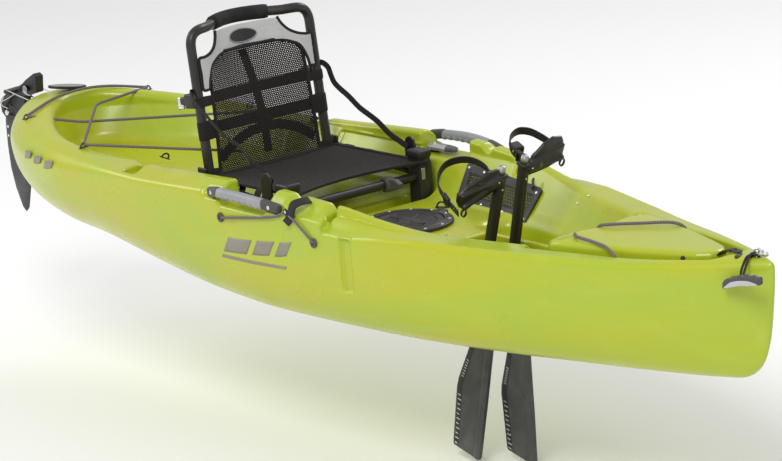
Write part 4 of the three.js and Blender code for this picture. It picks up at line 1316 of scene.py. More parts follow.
# ---- Shared small hardware ----
def screw_arrays(centre, normal, radius=4.5, height=1.8):
    """A domed screw head with a round hollow in its middle."""
    normal = np.array(normal, float) / np.linalg.norm(normal)
    levels = [(0, 1.0), (0.45, 1.0), (0.75, 0.86), (0.95, 0.6), (1.0, 0.34), (0.55, 0.26), (0.5, 0.05)]
    path = np.array([np.array(centre, float) + normal * height * h for h, _ in levels])
    path[1:] += normal * 1e-3 * np.arange(1, len(levels))[:, None]
    side = np.cross(normal, np.eye(3)[np.argmin(np.abs(normal))])
    side /= np.linalg.norm(side)
    other = np.cross(normal, side)
    ring = circle(radius, 16)
    disc = ring[:, :1] * side + ring[:, 1:] * other
    points = np.concatenate([p + share * disc for p, (_, share) in zip(path, levels)])
    count = len(ring)
    faces = []
    for k in range(len(levels) - 1):
        for i in range(count):
            j = (i + 1) % count
            faces.append((k * count + i, k * count + j, (k + 1) * count + j, (k + 1) * count + i))
    faces.append(tuple(reversed(range(count))))
    faces.append(tuple((len(levels) - 1) * count + i for i in range(count)))
    return points, faces, points[:, :2] * MM


def screws(name, places, body, material=None, radius=4.5):
    parts = [screw_arrays(centre, normal, radius) for centre, normal in places]
    return build(name, parts, material or STEEL, body)


# ---- Pedal drive ----
AXLE = centre_mm("crank_axle")
CRANK_Y = 46


def drive_spine_field(x, y, z):
    foot_z = box_mm("drive_spine")[0][2]
    body = block(x, y, z, (400, -26, 6), (662, 26, 128), 10)
    saddle = block(x, y, z, (424, -26, 100), (600, 26, 150), 12)
    ribs = 3.0 * band(np.mod(x, 34), 12, 20, 3) * band(z, 20, 110, 6)
    shape = either(body, saddle, 12)
    shape = both(shape, y - 26 + 3 - ribs, 2)
    lugs = np.full(np.broadcast(x, y, z).shape, 1e3)
    for x0, x1 in ((404, 426), (464, 551), (589, 656)):
        lugs = np.minimum(lugs, block(x, y, z, (x0, -9, foot_z), (x1, 9, 20), 3))
    return either(shape, lugs, 4)


sculpt(
    "drive_body", drive_spine_field, (390, 0, -36), (676, 34, 158), 2.4,
    BLACK, "hull", ["drive_spine"], mirror=True,
)

axle_from, axle_to = ((AXLE[0], corner[1], AXLE[2]) for corner in box_mm("crank_axle"))
pin_bar("drive_axle", axle_from, axle_to, 8, "hull", "crank_axle", 8, 20)
shaft_z = centre_mm("fin_shaft")[2]
shaft_from, shaft_to = ((corner[0], 0, shaft_z) for corner in box_mm("fin_shaft"))
pin_bar("fin_shaft_bar", shaft_from, shaft_to, 6, "hull", "fin_shaft", 8)


def add_lock(name, side):
    low, high = box_mm(f"drive_lock_{name}")

    def field(x, y, z):
        y = y * side
        hub = barrel(x, y, z, (640, 27, 132), (640, 40, 132), 9, 2)
        arm = block(x, y, z, (635, 33, 134), (645, 40, 190), 3)
        knob = capsule(x, y, z, (634, 36.5, 187), (646, 36.5, 187), 4)
        return either(either(hub, arm, 3), knob, 2)

    node = f"drive_lock_{name}"
    sculpt(
        f"lock_lever_{name}", field, low - 4, high + 4, 1.3,
        DARK_GREY, f"lock_{name}", [node],
    )


def add_crank(name, side):
    foot = joint_place(f"pedal_tilt_{name}")
    end = np.array([foot[0], side * CRANK_Y, foot[2]])
    hub = np.array([AXLE[0], side * CRANK_Y, AXLE[2]])
    direction = (end - hub) / np.linalg.norm(end - hub)
    across = np.cross(direction, (0, 1, 0))
    tip = end + direction * 14

    def field(x, y, z):
        drum = barrel(x, y, z, (AXLE[0], side * 29, AXLE[2]), (AXLE[0], side * 58, AXLE[2]), 34, 4)
        along, wide = local_axes(x, y, z, hub, (direction, across))
        off = y - hub[1]
        length = np.linalg.norm(tip - hub)
        bar = block(wide, off, along, (-14, -12.5, 10), (14, 12.5, length), 11)
        flute = 1.6 * np.exp(-(off**2) / 9) * band(along, 60, length - 50, 8)
        collar = block(wide, off, along, (-16, -14.5, length - 10), (16, 14.5, length), 5)
        shape = either(np.minimum(bar + flute, collar), drum, 14)
        pin = barrel(x, y, z, (foot[0], side * 40, foot[2]), (foot[0], side * 120, foot[2]), 6, 1)
        return np.minimum(shape, pin)

    low = np.minimum(np.minimum(hub, tip), foot) - (40, 22, 40)
    high = np.maximum(np.maximum(hub, tip), foot) + (40, 22, 18)
    body = f"crank_arm_{name}"
    sculpt(f"crank_tube_{name}", field, low, high, 2.4, BLACK, body, [f"crank_{name}"])
    levels = [(-2, 1), (13, 1), (13.6, 0.94), (18, 0.92), (19.4, 0.76)]
    cap_path = np.array([tip + direction * height for height, _ in levels])
    cap = sweep_arrays(cap_path, circle(10, 12), up=(0, 1, 0), scale=[share for _, share in levels])
    build(f"crank_cap_{name}", [cap], DULL_STEEL, body)
    screws(f"crank_screw_{name}", [(end - direction * 26 - across * 13, -across)], body, radius=3)


# Each pedal: how far it cants in its own plane, its strap's line as (along the pad, out from its sole),
# and the part of the strap that has slots.
PEDAL_LEAN = math.radians(28)
PEDALS = {
    "stbd": (
        -24,
        [(16, 2), (-2, 40), (4, 78), (26, 106), (64, 119), (98, 104), (121, 74), (131, 30), (136, -24)],
        (0.66, 0.97),
    ),
    "port": (
        14,
        [(14, 12), (4, 44), (8, 76), (28, 104), (58, 112), (80, 96), (92, 66), (98, 34), (100, 8)],
        (0.08, 0.26),
    ),
}
SOLES = {
    "stbd": [(-9, -24), (8, -33), (60, -34), (96, -31), (112, -20)]
    + [(116, 2), (110, 24), (84, 33), (20, 34), (-8, 22)],
    "port": [(-9, -20), (10, -30), (60, -40), (92, -40), (110, -26)]
    + [(116, 2), (110, 34), (84, 46), (52, 42), (18, 24)],
}


def pedal_axes(name, side):
    """The pad's own axes: outward along the pad, up the sole, and out from the sole towards the foot."""
    cant = math.radians(PEDALS[name][0])
    level = np.array([0, side, 0.0])
    rise = np.array([math.sin(PEDAL_LEAN), 0, math.cos(PEDAL_LEAN)])
    sole = np.array([-math.cos(PEDAL_LEAN), 0, math.sin(PEDAL_LEAN)])
    outward = math.cos(cant) * level + math.sin(cant) * rise
    upward = math.cos(cant) * rise - math.sin(cant) * level
    return outward, upward, sole


def add_pedal(name, side):
    foot = joint_place(f"pedal_tilt_{name}")
    start = np.array([foot[0], side * 58, foot[2]])
    outward, upward, sole = pedal_axes(name, side)
    body = f"foot_pedal_{name}"
    outline = SOLES[name]

    def field(x, y, z):
        a, u, n = local_axes(x, y, z, start, (outward, upward, sole))
        plan = polygon(a, u, outline) - 2
        dish = 7 * (((a - 54) / 62) ** 2) + 5 * (u / 34) ** 2
        plate = both(plan, np.abs(n + 1 - dish) - 5, 3.5)
        rib = capsule(a, u, n, (-2, 0, -8), (104, -20, -5), 7)
        rib = either(rib, capsule(a, u, n, (-2, 2, -8), (104, 22, -5), 5.5), 6)
        boss = capsule(a, u, n, (-4, 0, -3), (22, 0, -3), 13)
        heel = capsule(a, u, n, (6, -30, 5), (100, -29, 5), 6)
        shape = either(either(plate, rib, 7), boss, 9)
        return either(shape, heel, 6)

    reach = np.array([150, 150, 150.0])
    low = start - reach * (1, 1 if side < 0 else 0.25, 1) * (0.75, 1, 0.75)
    high = start + reach * (1, 1 if side > 0 else 0.25, 1) * (0.75, 1, 0.75)
    sculpt(f"pedal_pad_{name}", field, low, high, 2.4, BLACK, body, [f"pedal_{name}"])

    line = [start + outward * a + sole * n for a, n in PEDALS[name][1]]
    path = curve_points(line, 4.0)
    slots_from, slots_to = PEDALS[name][2]
    parts = slotted_strap(path, upward, 25, 3.2, slots_from, slots_to)
    build(f"pedal_strap_band_{name}", parts, RUBBER, body, [f"pedal_strap_{name}"])
    at = int((0.84 if side < 0 else 0.1) * len(path))
    add_buckle(f"pedal_buckle_{name}", path[at], path[at + 1] - path[at - 1], upward, body)
    ring_at = start + outward * 108 - upward * 30 - sole * 4
    loop = ring_points(ring_at - upward * 9, outward * 7.2, upward * 12, 24)
    ring = sweep_arrays(loop, flat_oval(3, 6), up=sole, closed=True)
    build(f"pedal_ring_{name}", [ring], BLACK, body)
    screws(f"pedal_rivets_{name}", [(start + outward * 4 - sole * 16 + upward * 4, -sole)], body, radius=3)


def slotted_strap(path, up, width, thickness, slots_from, slots_to, spacing=15.0):
    """A flat strap with a row of real slots: two edge bands joined by bridges."""
    path = np.array(path)
    run = np.r_[0, np.cumsum(np.linalg.norm(np.diff(path, axis=0), axis=1))]
    total = run[-1]
    first, last = slots_from * total, slots_to * total
    side, _ = path_frames(path, up)
    across = np.cross(np.gradient(path, axis=0), side)
    across /= np.linalg.norm(across, axis=1, keepdims=True)

    def band_piece(start, end, shift, wide):
        steps = np.linspace(start, end, max(int((end - start) / 3), 2) + 1)
        guide = np.stack([np.interp(steps, run, across[:, k]) for k in range(3)], axis=-1)
        middle = np.stack([np.interp(steps, run, path[:, k]) for k in range(3)], axis=-1) + shift * guide
        return sweep_arrays(middle, flat_oval(thickness, wide), up=guide)

    parts = [band_piece(0, first, 0, width), band_piece(last, total, 0, width)]
    rail = width * 0.3
    for sign in (1, -1):
        parts.append(band_piece(first - 0.5, last + 0.5, sign * (width - rail) / 2, rail))
    place = first + spacing * 0.5
    while place < last - 2:
        parts.append(band_piece(place, place + spacing * 0.45, 0, width * 0.44))
        place += spacing
    return parts


def add_buckle(name, centre, tangent, up, body):
    """A ladder-lock buckle: a small moulded frame round the strap."""
    tangent = tangent / np.linalg.norm(tangent)
    up = up - tangent * (up @ tangent)
    up /= np.linalg.norm(up)
    out = np.cross(tangent, up)

    def field(x, y, z):
        t, u, n = local_axes(x, y, z, centre, (tangent, up, out))
        frame_part = block(t, u, n, (-13, -17, -5), (13, 17, 5), 3)
        window = block(t, u, n, (-8, -11, -20), (-2, 11, 20), 1)
        second = block(t, u, n, (2, -11, -20), (8, 11, 20), 1)
        return np.maximum(np.maximum(frame_part, -window), -second)

    sculpt(name, field, centre - 26, centre + 26, 1.4, BLACK, body)


for name, side in SIDES:
    add_lock(name, side)
    add_crank(name, side)
    add_pedal(name, side)


# ---- Fins ----
WHITE_INK = moulded("white_ink", (0.75, 0.76, 0.76), 0.5, wear=-0.1)
FIN_PLASTIC = moulded("fin_plastic", (0.052, 0.052, 0.053), 0.55, grain=700, strength=0.35, wear=0.035)
FIN_STRIP = moulded("fin_strip", (0.020, 0.020, 0.021), 0.5, grain=700, strength=0.3, wear=0.012)
BRASS = brushed_metal("brass", (0.60, 0.47, 0.20), 0.35)
FIN_OUTLINE = [
    (11, -42),
    (12, -200),
    (11, -328),
    (6, -335),
    (-92, -314),
    (-95, -306),
    (-104, -168),
    (-101, -146),
    (-70, -52),
    (-64, -42),
    (-56, -38),
    (4, -38),
]
FIN_TRAILING = ([-335, -312, -160, -48], [-94, -94, -103, -68])  # where the trailing edge is at each depth


def fin_axes(name):
    """The fin's hub and its own down and side directions, from its feather axis."""
    joint = JOINTS[f"fin_feather_{name}"]
    hub = np.array(joint["pos_m"]) / MM
    down = np.array(joint["axis"], float)
    across = np.cross(down, (1, 0, 0))
    return hub, down, across / np.linalg.norm(across)


def fin_thickness(u, v):
    """Half the fin's thickness, which thins aft and steps down at the rubber strip."""
    strip = smooth((u - np.interp(v, *FIN_TRAILING) - 22) / 2)
    return 2.5 + 0.5 * strip + 2.4 * smooth((u + 80) / 85)


def add_fin(name):
    hub, down, across = fin_axes(name)

    def local(x, y, z):
        d, s = local_axes(x, y, z, hub, (down, across))
        return x - hub[0], -d, s

    def field(x, y, z):
        u, v, s = local(x, y, z)
        plan = polygon(u, v, FIN_OUTLINE)
        lead = capsule(u, s, v, (0, 0, -42), (0, 0, -328), 7.6)
        flat = both(plan, np.abs(s) - fin_thickness(u, v), 1.2)
        groove = 0.8 * band(u, -16, -11, 2) * band(v, -320, -60, 8)
        return either(flat + groove, both(lead, plan, 1), 5)

    low, high = box_mm(f"fin_{name}")
    leaf = f"fin_leaf_{name}"
    sculpt(
        f"{leaf}_skin", field, low - 8, high + 8, 2.0,
        FIN_PLASTIC, leaf, [f"fin_{name}"],
    )

    def on_face(u, v, face, lift):
        half = float(fin_thickness(np.float64(u), np.float64(v)))
        return hub + np.array([u, 0, 0]) - down * v + across * face * (half + lift)

    ticks, strips = [], []
    marks = [(-306 + 12 * k, 13 if k % 2 else 9) for k in range(11)] + [(-96 - 7 * k, 7) for k in range(7)]
    for face in (1, -1):
        for v, length in marks:
            edge = np.interp(v, *FIN_TRAILING)
            ends = [on_face(edge + 7, v, face, 0.5), on_face(edge + 7 + length, v - 3, face, 0.5)]
            ticks.append(sweep_arrays(resample(ends, 3), flat_oval(0.7, 2.0), up=down))
        line = [on_face(np.interp(v, *FIN_TRAILING) + 13, v, face, -0.1) for v in np.linspace(-308, -60, 30)]
        strips.append(sweep_arrays(resample(line, 6), flat_oval(0.9, 17), up=(1, 0, 0)))
    build(f"fin_marks_{name}", ticks, WHITE_INK, leaf)
    build(f"fin_strips_{name}", strips, FIN_STRIP, leaf)
    studs = [(on_face(-48, -50, face, 0), across * face) for face in (1, -1)]
    screws(f"fin_studs_{name}", studs, leaf, BRASS, 3)
    sleeve_top = hub - down * 2
    levels = [0, 4, 36, 40, 43]
    path = np.array([sleeve_top + down * k for k in levels])
    mast = sweep_arrays(path, circle(15, 22), scale=[0.85, 1, 1, 0.92, 0.7])
    rod_path = resample([hub + down * 34, hub + down * 306], 12)
    rod = tube_arrays(rod_path, 4.4, 14)
    hub_path = resample([hub - (16, 0, 0), hub + (16, 0, 0)], 4)
    hub_part = tube_arrays(hub_path, 12, 22)
    metal = [mast, rod, hub_part]
    build(f"fin_mast_{name}_metal", metal, STEEL, f"fin_arm_{name}", [f"fin_mast_{name}"])


for fin_name in ("rear", "front"):
    add_fin(fin_name)


# ---- Rudder ----
RUDDER_PIN_X = -1484
BOLT_X, BOLT_Z = -1590, 262  # the bolt that the blade kicks up on
RUDDER_CHEEK = [
    (-1506, 228),
    (-1504, 318),
    (-1444, 337),
    (-1440, 384),
    (-1453, 390),
    (-1496, 366),
    (-1528, 341),
    (-1572, 330),
    (-1618, 301),
    (-1629, 286),
    (-1625, 258),
    (-1600, 238),
]


REAR_HOLLOW = [(-1520, 246), (-1518, 300), (-1544, 318), (-1600, 300), (-1612, 284), (-1608, 262)]
TOP_HOLLOW = [(-1500, 334), (-1456, 344), (-1450, 372), (-1496, 350)]
STEERING_ARM = [(-1560, 0), (-1552, 50), (-1540, 54), (-1528, 50), (-1524, 0)]
RUDDER_TAIL = [(-1624, 288), (-1572, 328), (-1552, 322), (-1598, 274)]


def rudder_head_field(x, y, z):
    plan = polygon(x, z, RUDDER_CHEEK)
    side = both(plan, y - 14, 4)
    side = without(side, both(polygon(x, z, REAR_HOLLOW), 8 - y, 2), 3)
    side = without(side, both(polygon(x, z, TOP_HOLLOW), 6 - y, 2), 3)
    rib = capsule(x, y, z, (-1520, 8, 250), (-1600, 8, 292), 5)
    rib = either(rib, capsule(x, y, z, (-1456, 0, 372), (-1556, 0, 322), 12), 5)
    arm = both(polygon(x, y, STEERING_ARM), np.abs(z - 333) - 5, 3)
    tail = both(polygon(x, z, RUDDER_TAIL), y - 21, 6)
    lug = barrel(x, y, z, (RUDDER_PIN_X, 0, 230), (RUDDER_PIN_X, 0, 276), 13, 3)
    neck = block(x, y, z, (-1512, -10, 232), (-1484, 10, 274), 4)
    shape = either(either(side, rib, 3), either(arm, tail, 6), 5)
    shape = either(shape, either(lug, neck, 5), 6)
    slot = block(x, y, z, (-1700, -6, 180), (-1544, 6, 316), 2)
    bore = barrel(x, y, z, (RUDDER_PIN_X, 0, 200), (RUDDER_PIN_X, 0, 330), 5.2, 0)
    return np.maximum(np.maximum(shape, -slot), -bore)


sculpt(
    "rudder_housing", rudder_head_field, (-1642, 0, 216), (-1430, 64, 400), 2.2,
    BLACK, "rudder", ["rudder_head"], mirror=True,
)

BLADE_OUTLINE = [
    (-1564, 284),
    (-1556, 262),
    (-1548, 200),
    (-1534, 100),
    (-1533, 50),
    (-1550, -11),
    (-1564, -25),
    (-1579, -13),
    (-1605, 40),
    (-1621, 95),
    (-1627, 160),
    (-1627, 230),
    (-1615, 282),
    (-1590, 292),
]


def blade_field(x, y, z):
    plan = polygon(x, z, BLADE_OUTLINE)
    edge = np.clip(-plan / 14, 0, 1)
    bolt = np.hypot(x - BOLT_X, z - BOLT_Z) - 5.2
    return np.maximum(both(plan, y - 1.2 - 3.2 * np.sqrt(edge), 1), -bolt)


sculpt(
    "rudder_blade_skin", blade_field, (-1636, 0, -34), (-1524, 9, 300), 1.8,
    FIN_PLASTIC, "blade", ["rudder_blade"], mirror=True,
)
def on_both_faces(places, half):
    """Screws at (x, z) places on the port and starboard faces of a plate this thick each way from y = 0."""
    return [((x, face * half, z), (0, face, 0)) for face in (-1, 1) for x, z in places]


screws("blade_rivets", on_both_faces([(-1612, 216), (-1613, 190)], 4.6), "blade", radius=4)
screws("blade_bolt_heads", on_both_faces([(BOLT_X, BOLT_Z)], 20), "rudder", radius=8)
pin_bar("blade_bolt_shank", (BOLT_X, -19, BOLT_Z), (BOLT_X, 19, BOLT_Z), 4.9, "rudder", "blade_bolt", 4, 16)
pin_from, pin_to = ((RUDDER_PIN_X, 0, corner[2]) for corner in box_mm("rudder_pin"))
pin_bar("rudder_pin_bar", pin_from, pin_to, 5, "hull", "rudder_pin")


def bracket_field(x, y, z):
    shape = block(x, y, z, (-1469, -26, 214), (-1460, 26, 292), 4)
    for z0, z1 in ((216, 228), (278, 290)):
        lug = block(x, y, z, (RUDDER_PIN_X, -12, z0), (-1464, 12, z1), 2)
        knuckle = barrel(x, y, z, (RUDDER_PIN_X, 0, z0), (RUDDER_PIN_X, 0, z1), 12, 2)
        shape = either(shape, either(lug, knuckle, 2), 4)
    return shape


sculpt(
    "rudder_mount", bracket_field, (-1502, 0, 208), (-1454, 32, 298), 2.0,
    BLACK, "hull", ["rudder_bracket"], mirror=True,
)
steering_lines = []
for name, side in SIDES:
    line = [(-1540, side * 48, 339), (-1500, side * 46, 332), (-1440, side * 44, 322)]
    steering_lines.append(tube_arrays(curve_points(line, 5), 1.3, 8))
WHITE_LINE = braided_cord("white_line", (0.55, 0.55, 0.53), (0.8, 0.8, 0.78), 240, 4)
build("steering_line_ends", steering_lines, WHITE_LINE, "hull")
LIFT_LINES = [
    [(-1622, -22, 288), (-1586, -24, 300), (-1540, -22, 322)],
    [(-1498, -19, 336), (-1474, -24, 330), (-1450, -30, 332)],
    [(-1596, -22, 306), (-1606, -24, 284), (-1580, -22, 276)],
]
lift_lines = [tube_arrays(curve_points(line, 5), 1.3, 8) for line in LIFT_LINES]
build("rudder_up_line", lift_lines, WHITE_LINE, "rudder")
screws("rudder_sheave", on_both_faces([(-1498, 338)], 14), "rudder", DULL_STEEL, 12)

# ---- Round hatch in the cockpit floor ----
COVER_RADIUS = 93
SCREW_CIRCLE = 108
SEAL_RADIUS = 89.5


def hatch_ring_field(x, y, z):
    x = x - HATCH[0]
    reach = np.hypot(x, y)
    wall = both(np.abs(reach - 106) - 12.5, np.abs(z - 203) - 5, 3.5)
    lip = both(np.abs(reach - 97) - 2.6, np.abs(z - 206) - 4.5, 2)
    grip = block(x, y, z, (-15, 86, 198), (15, 126, 212), 5)
    pocket = block(x, y, z, (-9, 100, 205), (9, 112, 220), 3)
    return either(either(wall, lip, 2), without(grip, pocket, 2), 4)


sculpt(
    "hatch_frame", hatch_ring_field, (HATCH[0] - 132, 0, 194), (HATCH[0] + 132, 130, 216), 2.2,
    HATCH_BLACK, "hull", ["centre_hatch_ring"], mirror=True,
)
ring_screws = []
for k in range(12):
    angle = 2 * math.pi * (k + 0.5) / 12
    place = (HATCH[0] + SCREW_CIRCLE * math.cos(angle), SCREW_CIRCLE * math.sin(angle), 207.6)
    ring_screws.append((place, (0, 0, 1)))
screws("hatch_screws", ring_screws, "hull", radius=4)
seal_centre = np.array([HATCH[0], 0, FLOOR_Z + 1])
seal_path = ring_points(seal_centre, np.array([SEAL_RADIUS, 0, 0]), np.array([0, SEAL_RADIUS, 0]), 96)
seal = sweep_arrays(seal_path, flat_oval(5, 2.6), up=(0, 0, 1), closed=True)
build("hatch_seal", [seal], RUBBER, "hull", ["centre_hatch_seal"])


def cover_field(x, y, z):
    x = x - HATCH[0]
    reach = np.hypot(x, y)
    disc = both(reach - COVER_RADIUS, np.abs(z - 203) - 4.6, 3)
    dish = both(reach - 76, 203 - z, 2)
    shape = without(disc, dish + 1.4, 3)
    handle = block(x, y, z, (-66, -8, 198), (66, 8, 213), 5)
    hub = both(reach - 24, np.abs(z - 204) - 6, 4)
    angle = np.arctan2(y, x)
    rib = both(np.abs(reach - 50) - 24, np.abs(np.sin(angle * 3)) * reach / 3 - 2.4)
    rib = both(rib, np.abs(z - 202) - 3.5, 1)
    shape = either(either(shape, handle, 5), hub, 5)
    return either(shape, rib, 2)


sculpt(
    "hatch_dial", cover_field, (HATCH[0] - 98, 0, 192), (HATCH[0] + 98, 98, 218), 2.0,
    HATCH_BLACK, "floor_hatch", ["centre_hatch_cover"], mirror=True,
)


def padeye(name, place, normal, tangent, body, size=1.0, material=None):
    """A small loop on a foot."""
    place, normal, tangent = (np.array(v, float) for v in (place, normal, tangent))
    normal /= np.linalg.norm(normal)
    loop = []
    for a in np.linspace(0, math.pi, 15):
        loop.append(place + tangent * size * 12 * math.cos(a) + normal * size * (2 + 13 * math.sin(a)))
    foot = resample([place - tangent * size * 16 + normal, place + tangent * size * 16 + normal], 4)
    across = np.cross(normal, tangent)
    parts = [
        tube_arrays(curve_points(loop, 2.5), 2.6 * size, 10),
        sweep_arrays(foot, flat_oval(3 * size, 12 * size), up=across),
    ]
    return build(name, parts, material or BLACK, body)


for name, side in SIDES:
    padeye(f"floor_padeye_{name}", (88, side * 158, FLOOR_Z + 1), (0, 0, 1), (0.8, side * 0.6, 0), "hull")


# ---- Mesh pockets on the cockpit walls ----
POCKET = [(72, 203), (366, 194), (381, 266), (366, 272), (64, 287)]
POCKET_SCREWS = [(77, 280), (140, 277), (210, 274), (290, 269), (368, 262)]
POCKET_SCREWS += [(84, 210), (175, 207), (265, 204), (355, 201)]
WALL_SCREWS = [(572, 286), (537, 263)]


def wall_y(x, z, lift=0.0):
    """How far from the centreline the cockpit wall is, less a lift off it."""
    return half_breadth(x) - GUNWALE - (WALL_TOP_Z - z) * WALL_SLOPE - lift * 1.2


def pocket_field(x, y, z):
    off = (wall_y(x, z) - y) * WALL_COS
    plan = polygon(x, z, POCKET)
    rim = both(np.abs(plan + 9) - 9.5, np.abs(off - 4.5) - 4.2, 2.5)
    hook = capsule(x, off, z, (352, 6, 268), (352, 16, 276), 4)
    hook = either(hook, capsule(x, off, z, (352, 16, 276), (346, 18, 292), 3.4), 3)
    return either(rim, hook, 3)


def pocket_surface(side):
    return lambda u, v: np.stack([u, side * (wall_y(u, v, 6) + 0 * u), v + 0 * u], axis=-1)


def in_pocket(u, v):
    return float(polygon(np.array(u, float), np.array(v, float), POCKET)) < -10


sculpt(
    "pocket_frames", pocket_field, (50, 0, 180), (396, 330, 304), 2.4,
    POCKET_BLACK, "hull", mirror=True,
)
pocket_screws = []
wall_screws = []
for name, side in SIDES:
    net = net_arrays(pocket_surface(side), in_pocket, (64, 384), (190, 292), (10.4, 6.6), (8.0, 5.4), 1.6)
    build(f"pocket_net_{name}", [net], POCKET_BLACK, "hull", [f"mesh_pocket_{name}"])
    inward = (0, -side * WALL_COS, WALL_SLOPE * WALL_COS)
    pocket_screws += [((x, side * wall_y(x, z, 9), z), inward) for x, z in POCKET_SCREWS]
    steep = (0, -side * WALL_COS, 0.55)
    wall_screws += [((x, side * wall_y(x, z, 0.5), z), steep) for x, z in WALL_SCREWS]
screws("pocket_screws", pocket_screws, "hull", radius=4.4)
screws("wall_screws", wall_screws, "hull", radius=3.4)


# ---- Carry handles ----
HANDLE_Y = 372
HANDLE_LINE = [(-178, 313), (-150, 317), (-60, 320), (8, 317), (50, 313), (88, 307)]
HANDLE_BULGE = 12  # how far the middle of the grip stands out from its feet


def handle_offsets(x, y, z):
    """How far out and up a point is from the line that the handle follows."""
    line = curve_points([(px, 0, pz) for px, pz in HANDLE_LINE], 14)
    centre = np.interp(x, line[:, 0], line[:, 2])
    bulge = HANDLE_BULGE * np.maximum(1 - ((x + 50) / 140) ** 2, 0)
    return y - (HANDLE_Y - 6 + bulge), z - centre


def grip_field(x, y, z):
    out, up = handle_offsets(x, y, z)
    scallop = 3.4 * np.abs(np.sin(np.pi * (x + 150) / 23)) * smooth(-up / 8)
    radius = 13.5 + 1.4 * smooth((x + 150) / 150)
    body = np.hypot(out, up * 0.98) - radius - scallop + 2
    return both(body, np.abs(x + 50) - 92, 4)


def strap_field(x, y, z):
    out, up = handle_offsets(x, y, z)
    strap = both(both(np.abs(out) - 4, np.abs(up) - 11, 3), np.abs(x + 45) - 134, 2)
    aft = block(x, out, up, (-189, -11, -12.5), (-138, 11, 12.5), 8)
    fore = block(x, out, up, (36, -11, -13.5), (98, 11, 13.5), 9)
    return either(strap, np.minimum(aft, fore), 4)


sculpt(
    "handle_grips", grip_field, (-152, 340, 288), (50, 398, 346), 2.0,
    GREY, "hull", ["handle_grip_port", "handle_grip_stbd"], mirror=True,
)
sculpt(
    "handle_ends", strap_field, (-200, 350, 286), (104, 392, 350), 2.4,
    DARK_GREY, "hull", ["handle_strap_port", "handle_strap_stbd"], mirror=True,
)
handle_screws = []
for _, side in SIDES:
    handle_screws += [((x, side * (HANDLE_Y + 8), z), (0, side, 0)) for x, z in ((-164, 315), (68, 310))]
screws("handle_screws", handle_screws, "hull", radius=5.5)


# ---- Steering lever ----
STEER = joint_place("steering_lever_turn")
LEVER_PLAN = [(-14, -15), (-4, -21), (52, -19), (84, -10), (92, 0)]
LEVER_PLAN += [(84, 11), (52, 19), (-4, 21), (-14, 15), (-18, 0)]


def lever_field(x, y, z):
    plan = polygon(x - STEER[0], y - STEER[1], LEVER_PLAN)
    top = 306 - 3 * ((y - STEER[1]) / 20) ** 2
    return both(both(plan, z - top, 6), 292.5 - z, 4)


low, high = box_mm("steering_lever")
sculpt(
    "steering_handle", lever_field, low - (12, 14, 6), high + (6, 14, 8), 1.8,
    TWO_TONE, "steering", ["steering_lever"],
)
base_low, base_high = box_mm("steering_base")
pivot = resample([(STEER[0], STEER[1], base_low[2]), (STEER[0], STEER[1], base_high[2] + 0.6)], 3)
build("steering_pivot", [tube_arrays(pivot, 15, 26)], BLACK, "hull", ["steering_base"])
screws("steering_screw", [((STEER[0], STEER[1], 305.5), (0, 0, 1))], "steering", radius=5)


# ---- Paddle keepers on the hull sides ----
def side_y(x, z, lift=0.0):
    """How far from the centreline the hull side is at x and z, plus a lift."""
    full = station(x, 5)
    depth = np.maximum(station(x, 3) - z, 0) / (station(x, 3) - station(x, 2))
    return half_breadth(x) * np.maximum(1 - depth**full, 0.01) ** (1 / full) + lift


def on_side(side, x, z, lift=0.0):
    return np.array([x, side * float(side_y(np.float64(x), z, lift)), z])


def grommet(place, normal, radius):
    """A flared ring with a cord hole."""
    normal = np.array(normal, float) / np.linalg.norm(normal)
    place = np.array(place, float)
    guide = np.cross(normal, (0, 0, 1))
    other = np.cross(normal, guide)
    wide = radius * 0.66
    loop = ring_points(place + normal * 1.6, guide * wide, other * wide)
    return sweep_arrays(loop, flat_oval(wide, 4.4), up=normal, closed=True)


# The rubber hook's line over the coaming: x, z and how far it lies off the hull side.
HOOK_LINE = [(176, 336, -38), (172, 336, -16), (163, 330, 2), (152, 306, 5), (143, 288, 7), (140, 282, 13)]
for name, side in SIDES:
    aft = on_side(side, -138, 254, 1)
    fore = on_side(side, 226, 242, 1)
    cord = [aft - (0, side * 6, 0), aft + (6, side * 3, 1)]
    cord += [on_side(side, *spot) for spot in ((-30, 270, 5), (84, 289, 5), (112, 299, 5), (132, 308, 4))]
    lower = [on_side(side, *spot) for spot in ((146, 301, 7), (166, 291, 7), (220, 249, 4))]
    lower += [fore, fore - (0, side * 6, 0)]
    parts = [tube_arrays(curve_points(line, 5), 3.2, 12) for line in (cord, lower)]
    build(f"paddle_cord_{name}", parts, CORD, "hull", [f"paddle_bungee_{name}"])
    rings = [grommet(aft, (0, side, 0), 12.5), grommet(fore, (0, side, 0), 12.5)]
    build(f"paddle_grommets_{name}", rings, DARK_GREY, "hull")
    eye = grommet(on_side(side, 134, 309, 4), (0, side, 0), 8)
    band_path = curve_points([on_side(side, *spot) for spot in HOOK_LINE], 4)
    guide = np.broadcast_to(np.array([0.88, 0, -0.42]), band_path.shape)
    hook = sweep_arrays(band_path, flat_oval(5, 25), up=guide)
    build(f"paddle_hook_strap_{name}", [hook, eye], RUBBER, "hull", [f"paddle_hook_{name}"])
    screws(f"paddle_screw_{name}", [(on_side(side, 134, 309, 6.5), (0, side, 0))], "hull", radius=4.5)


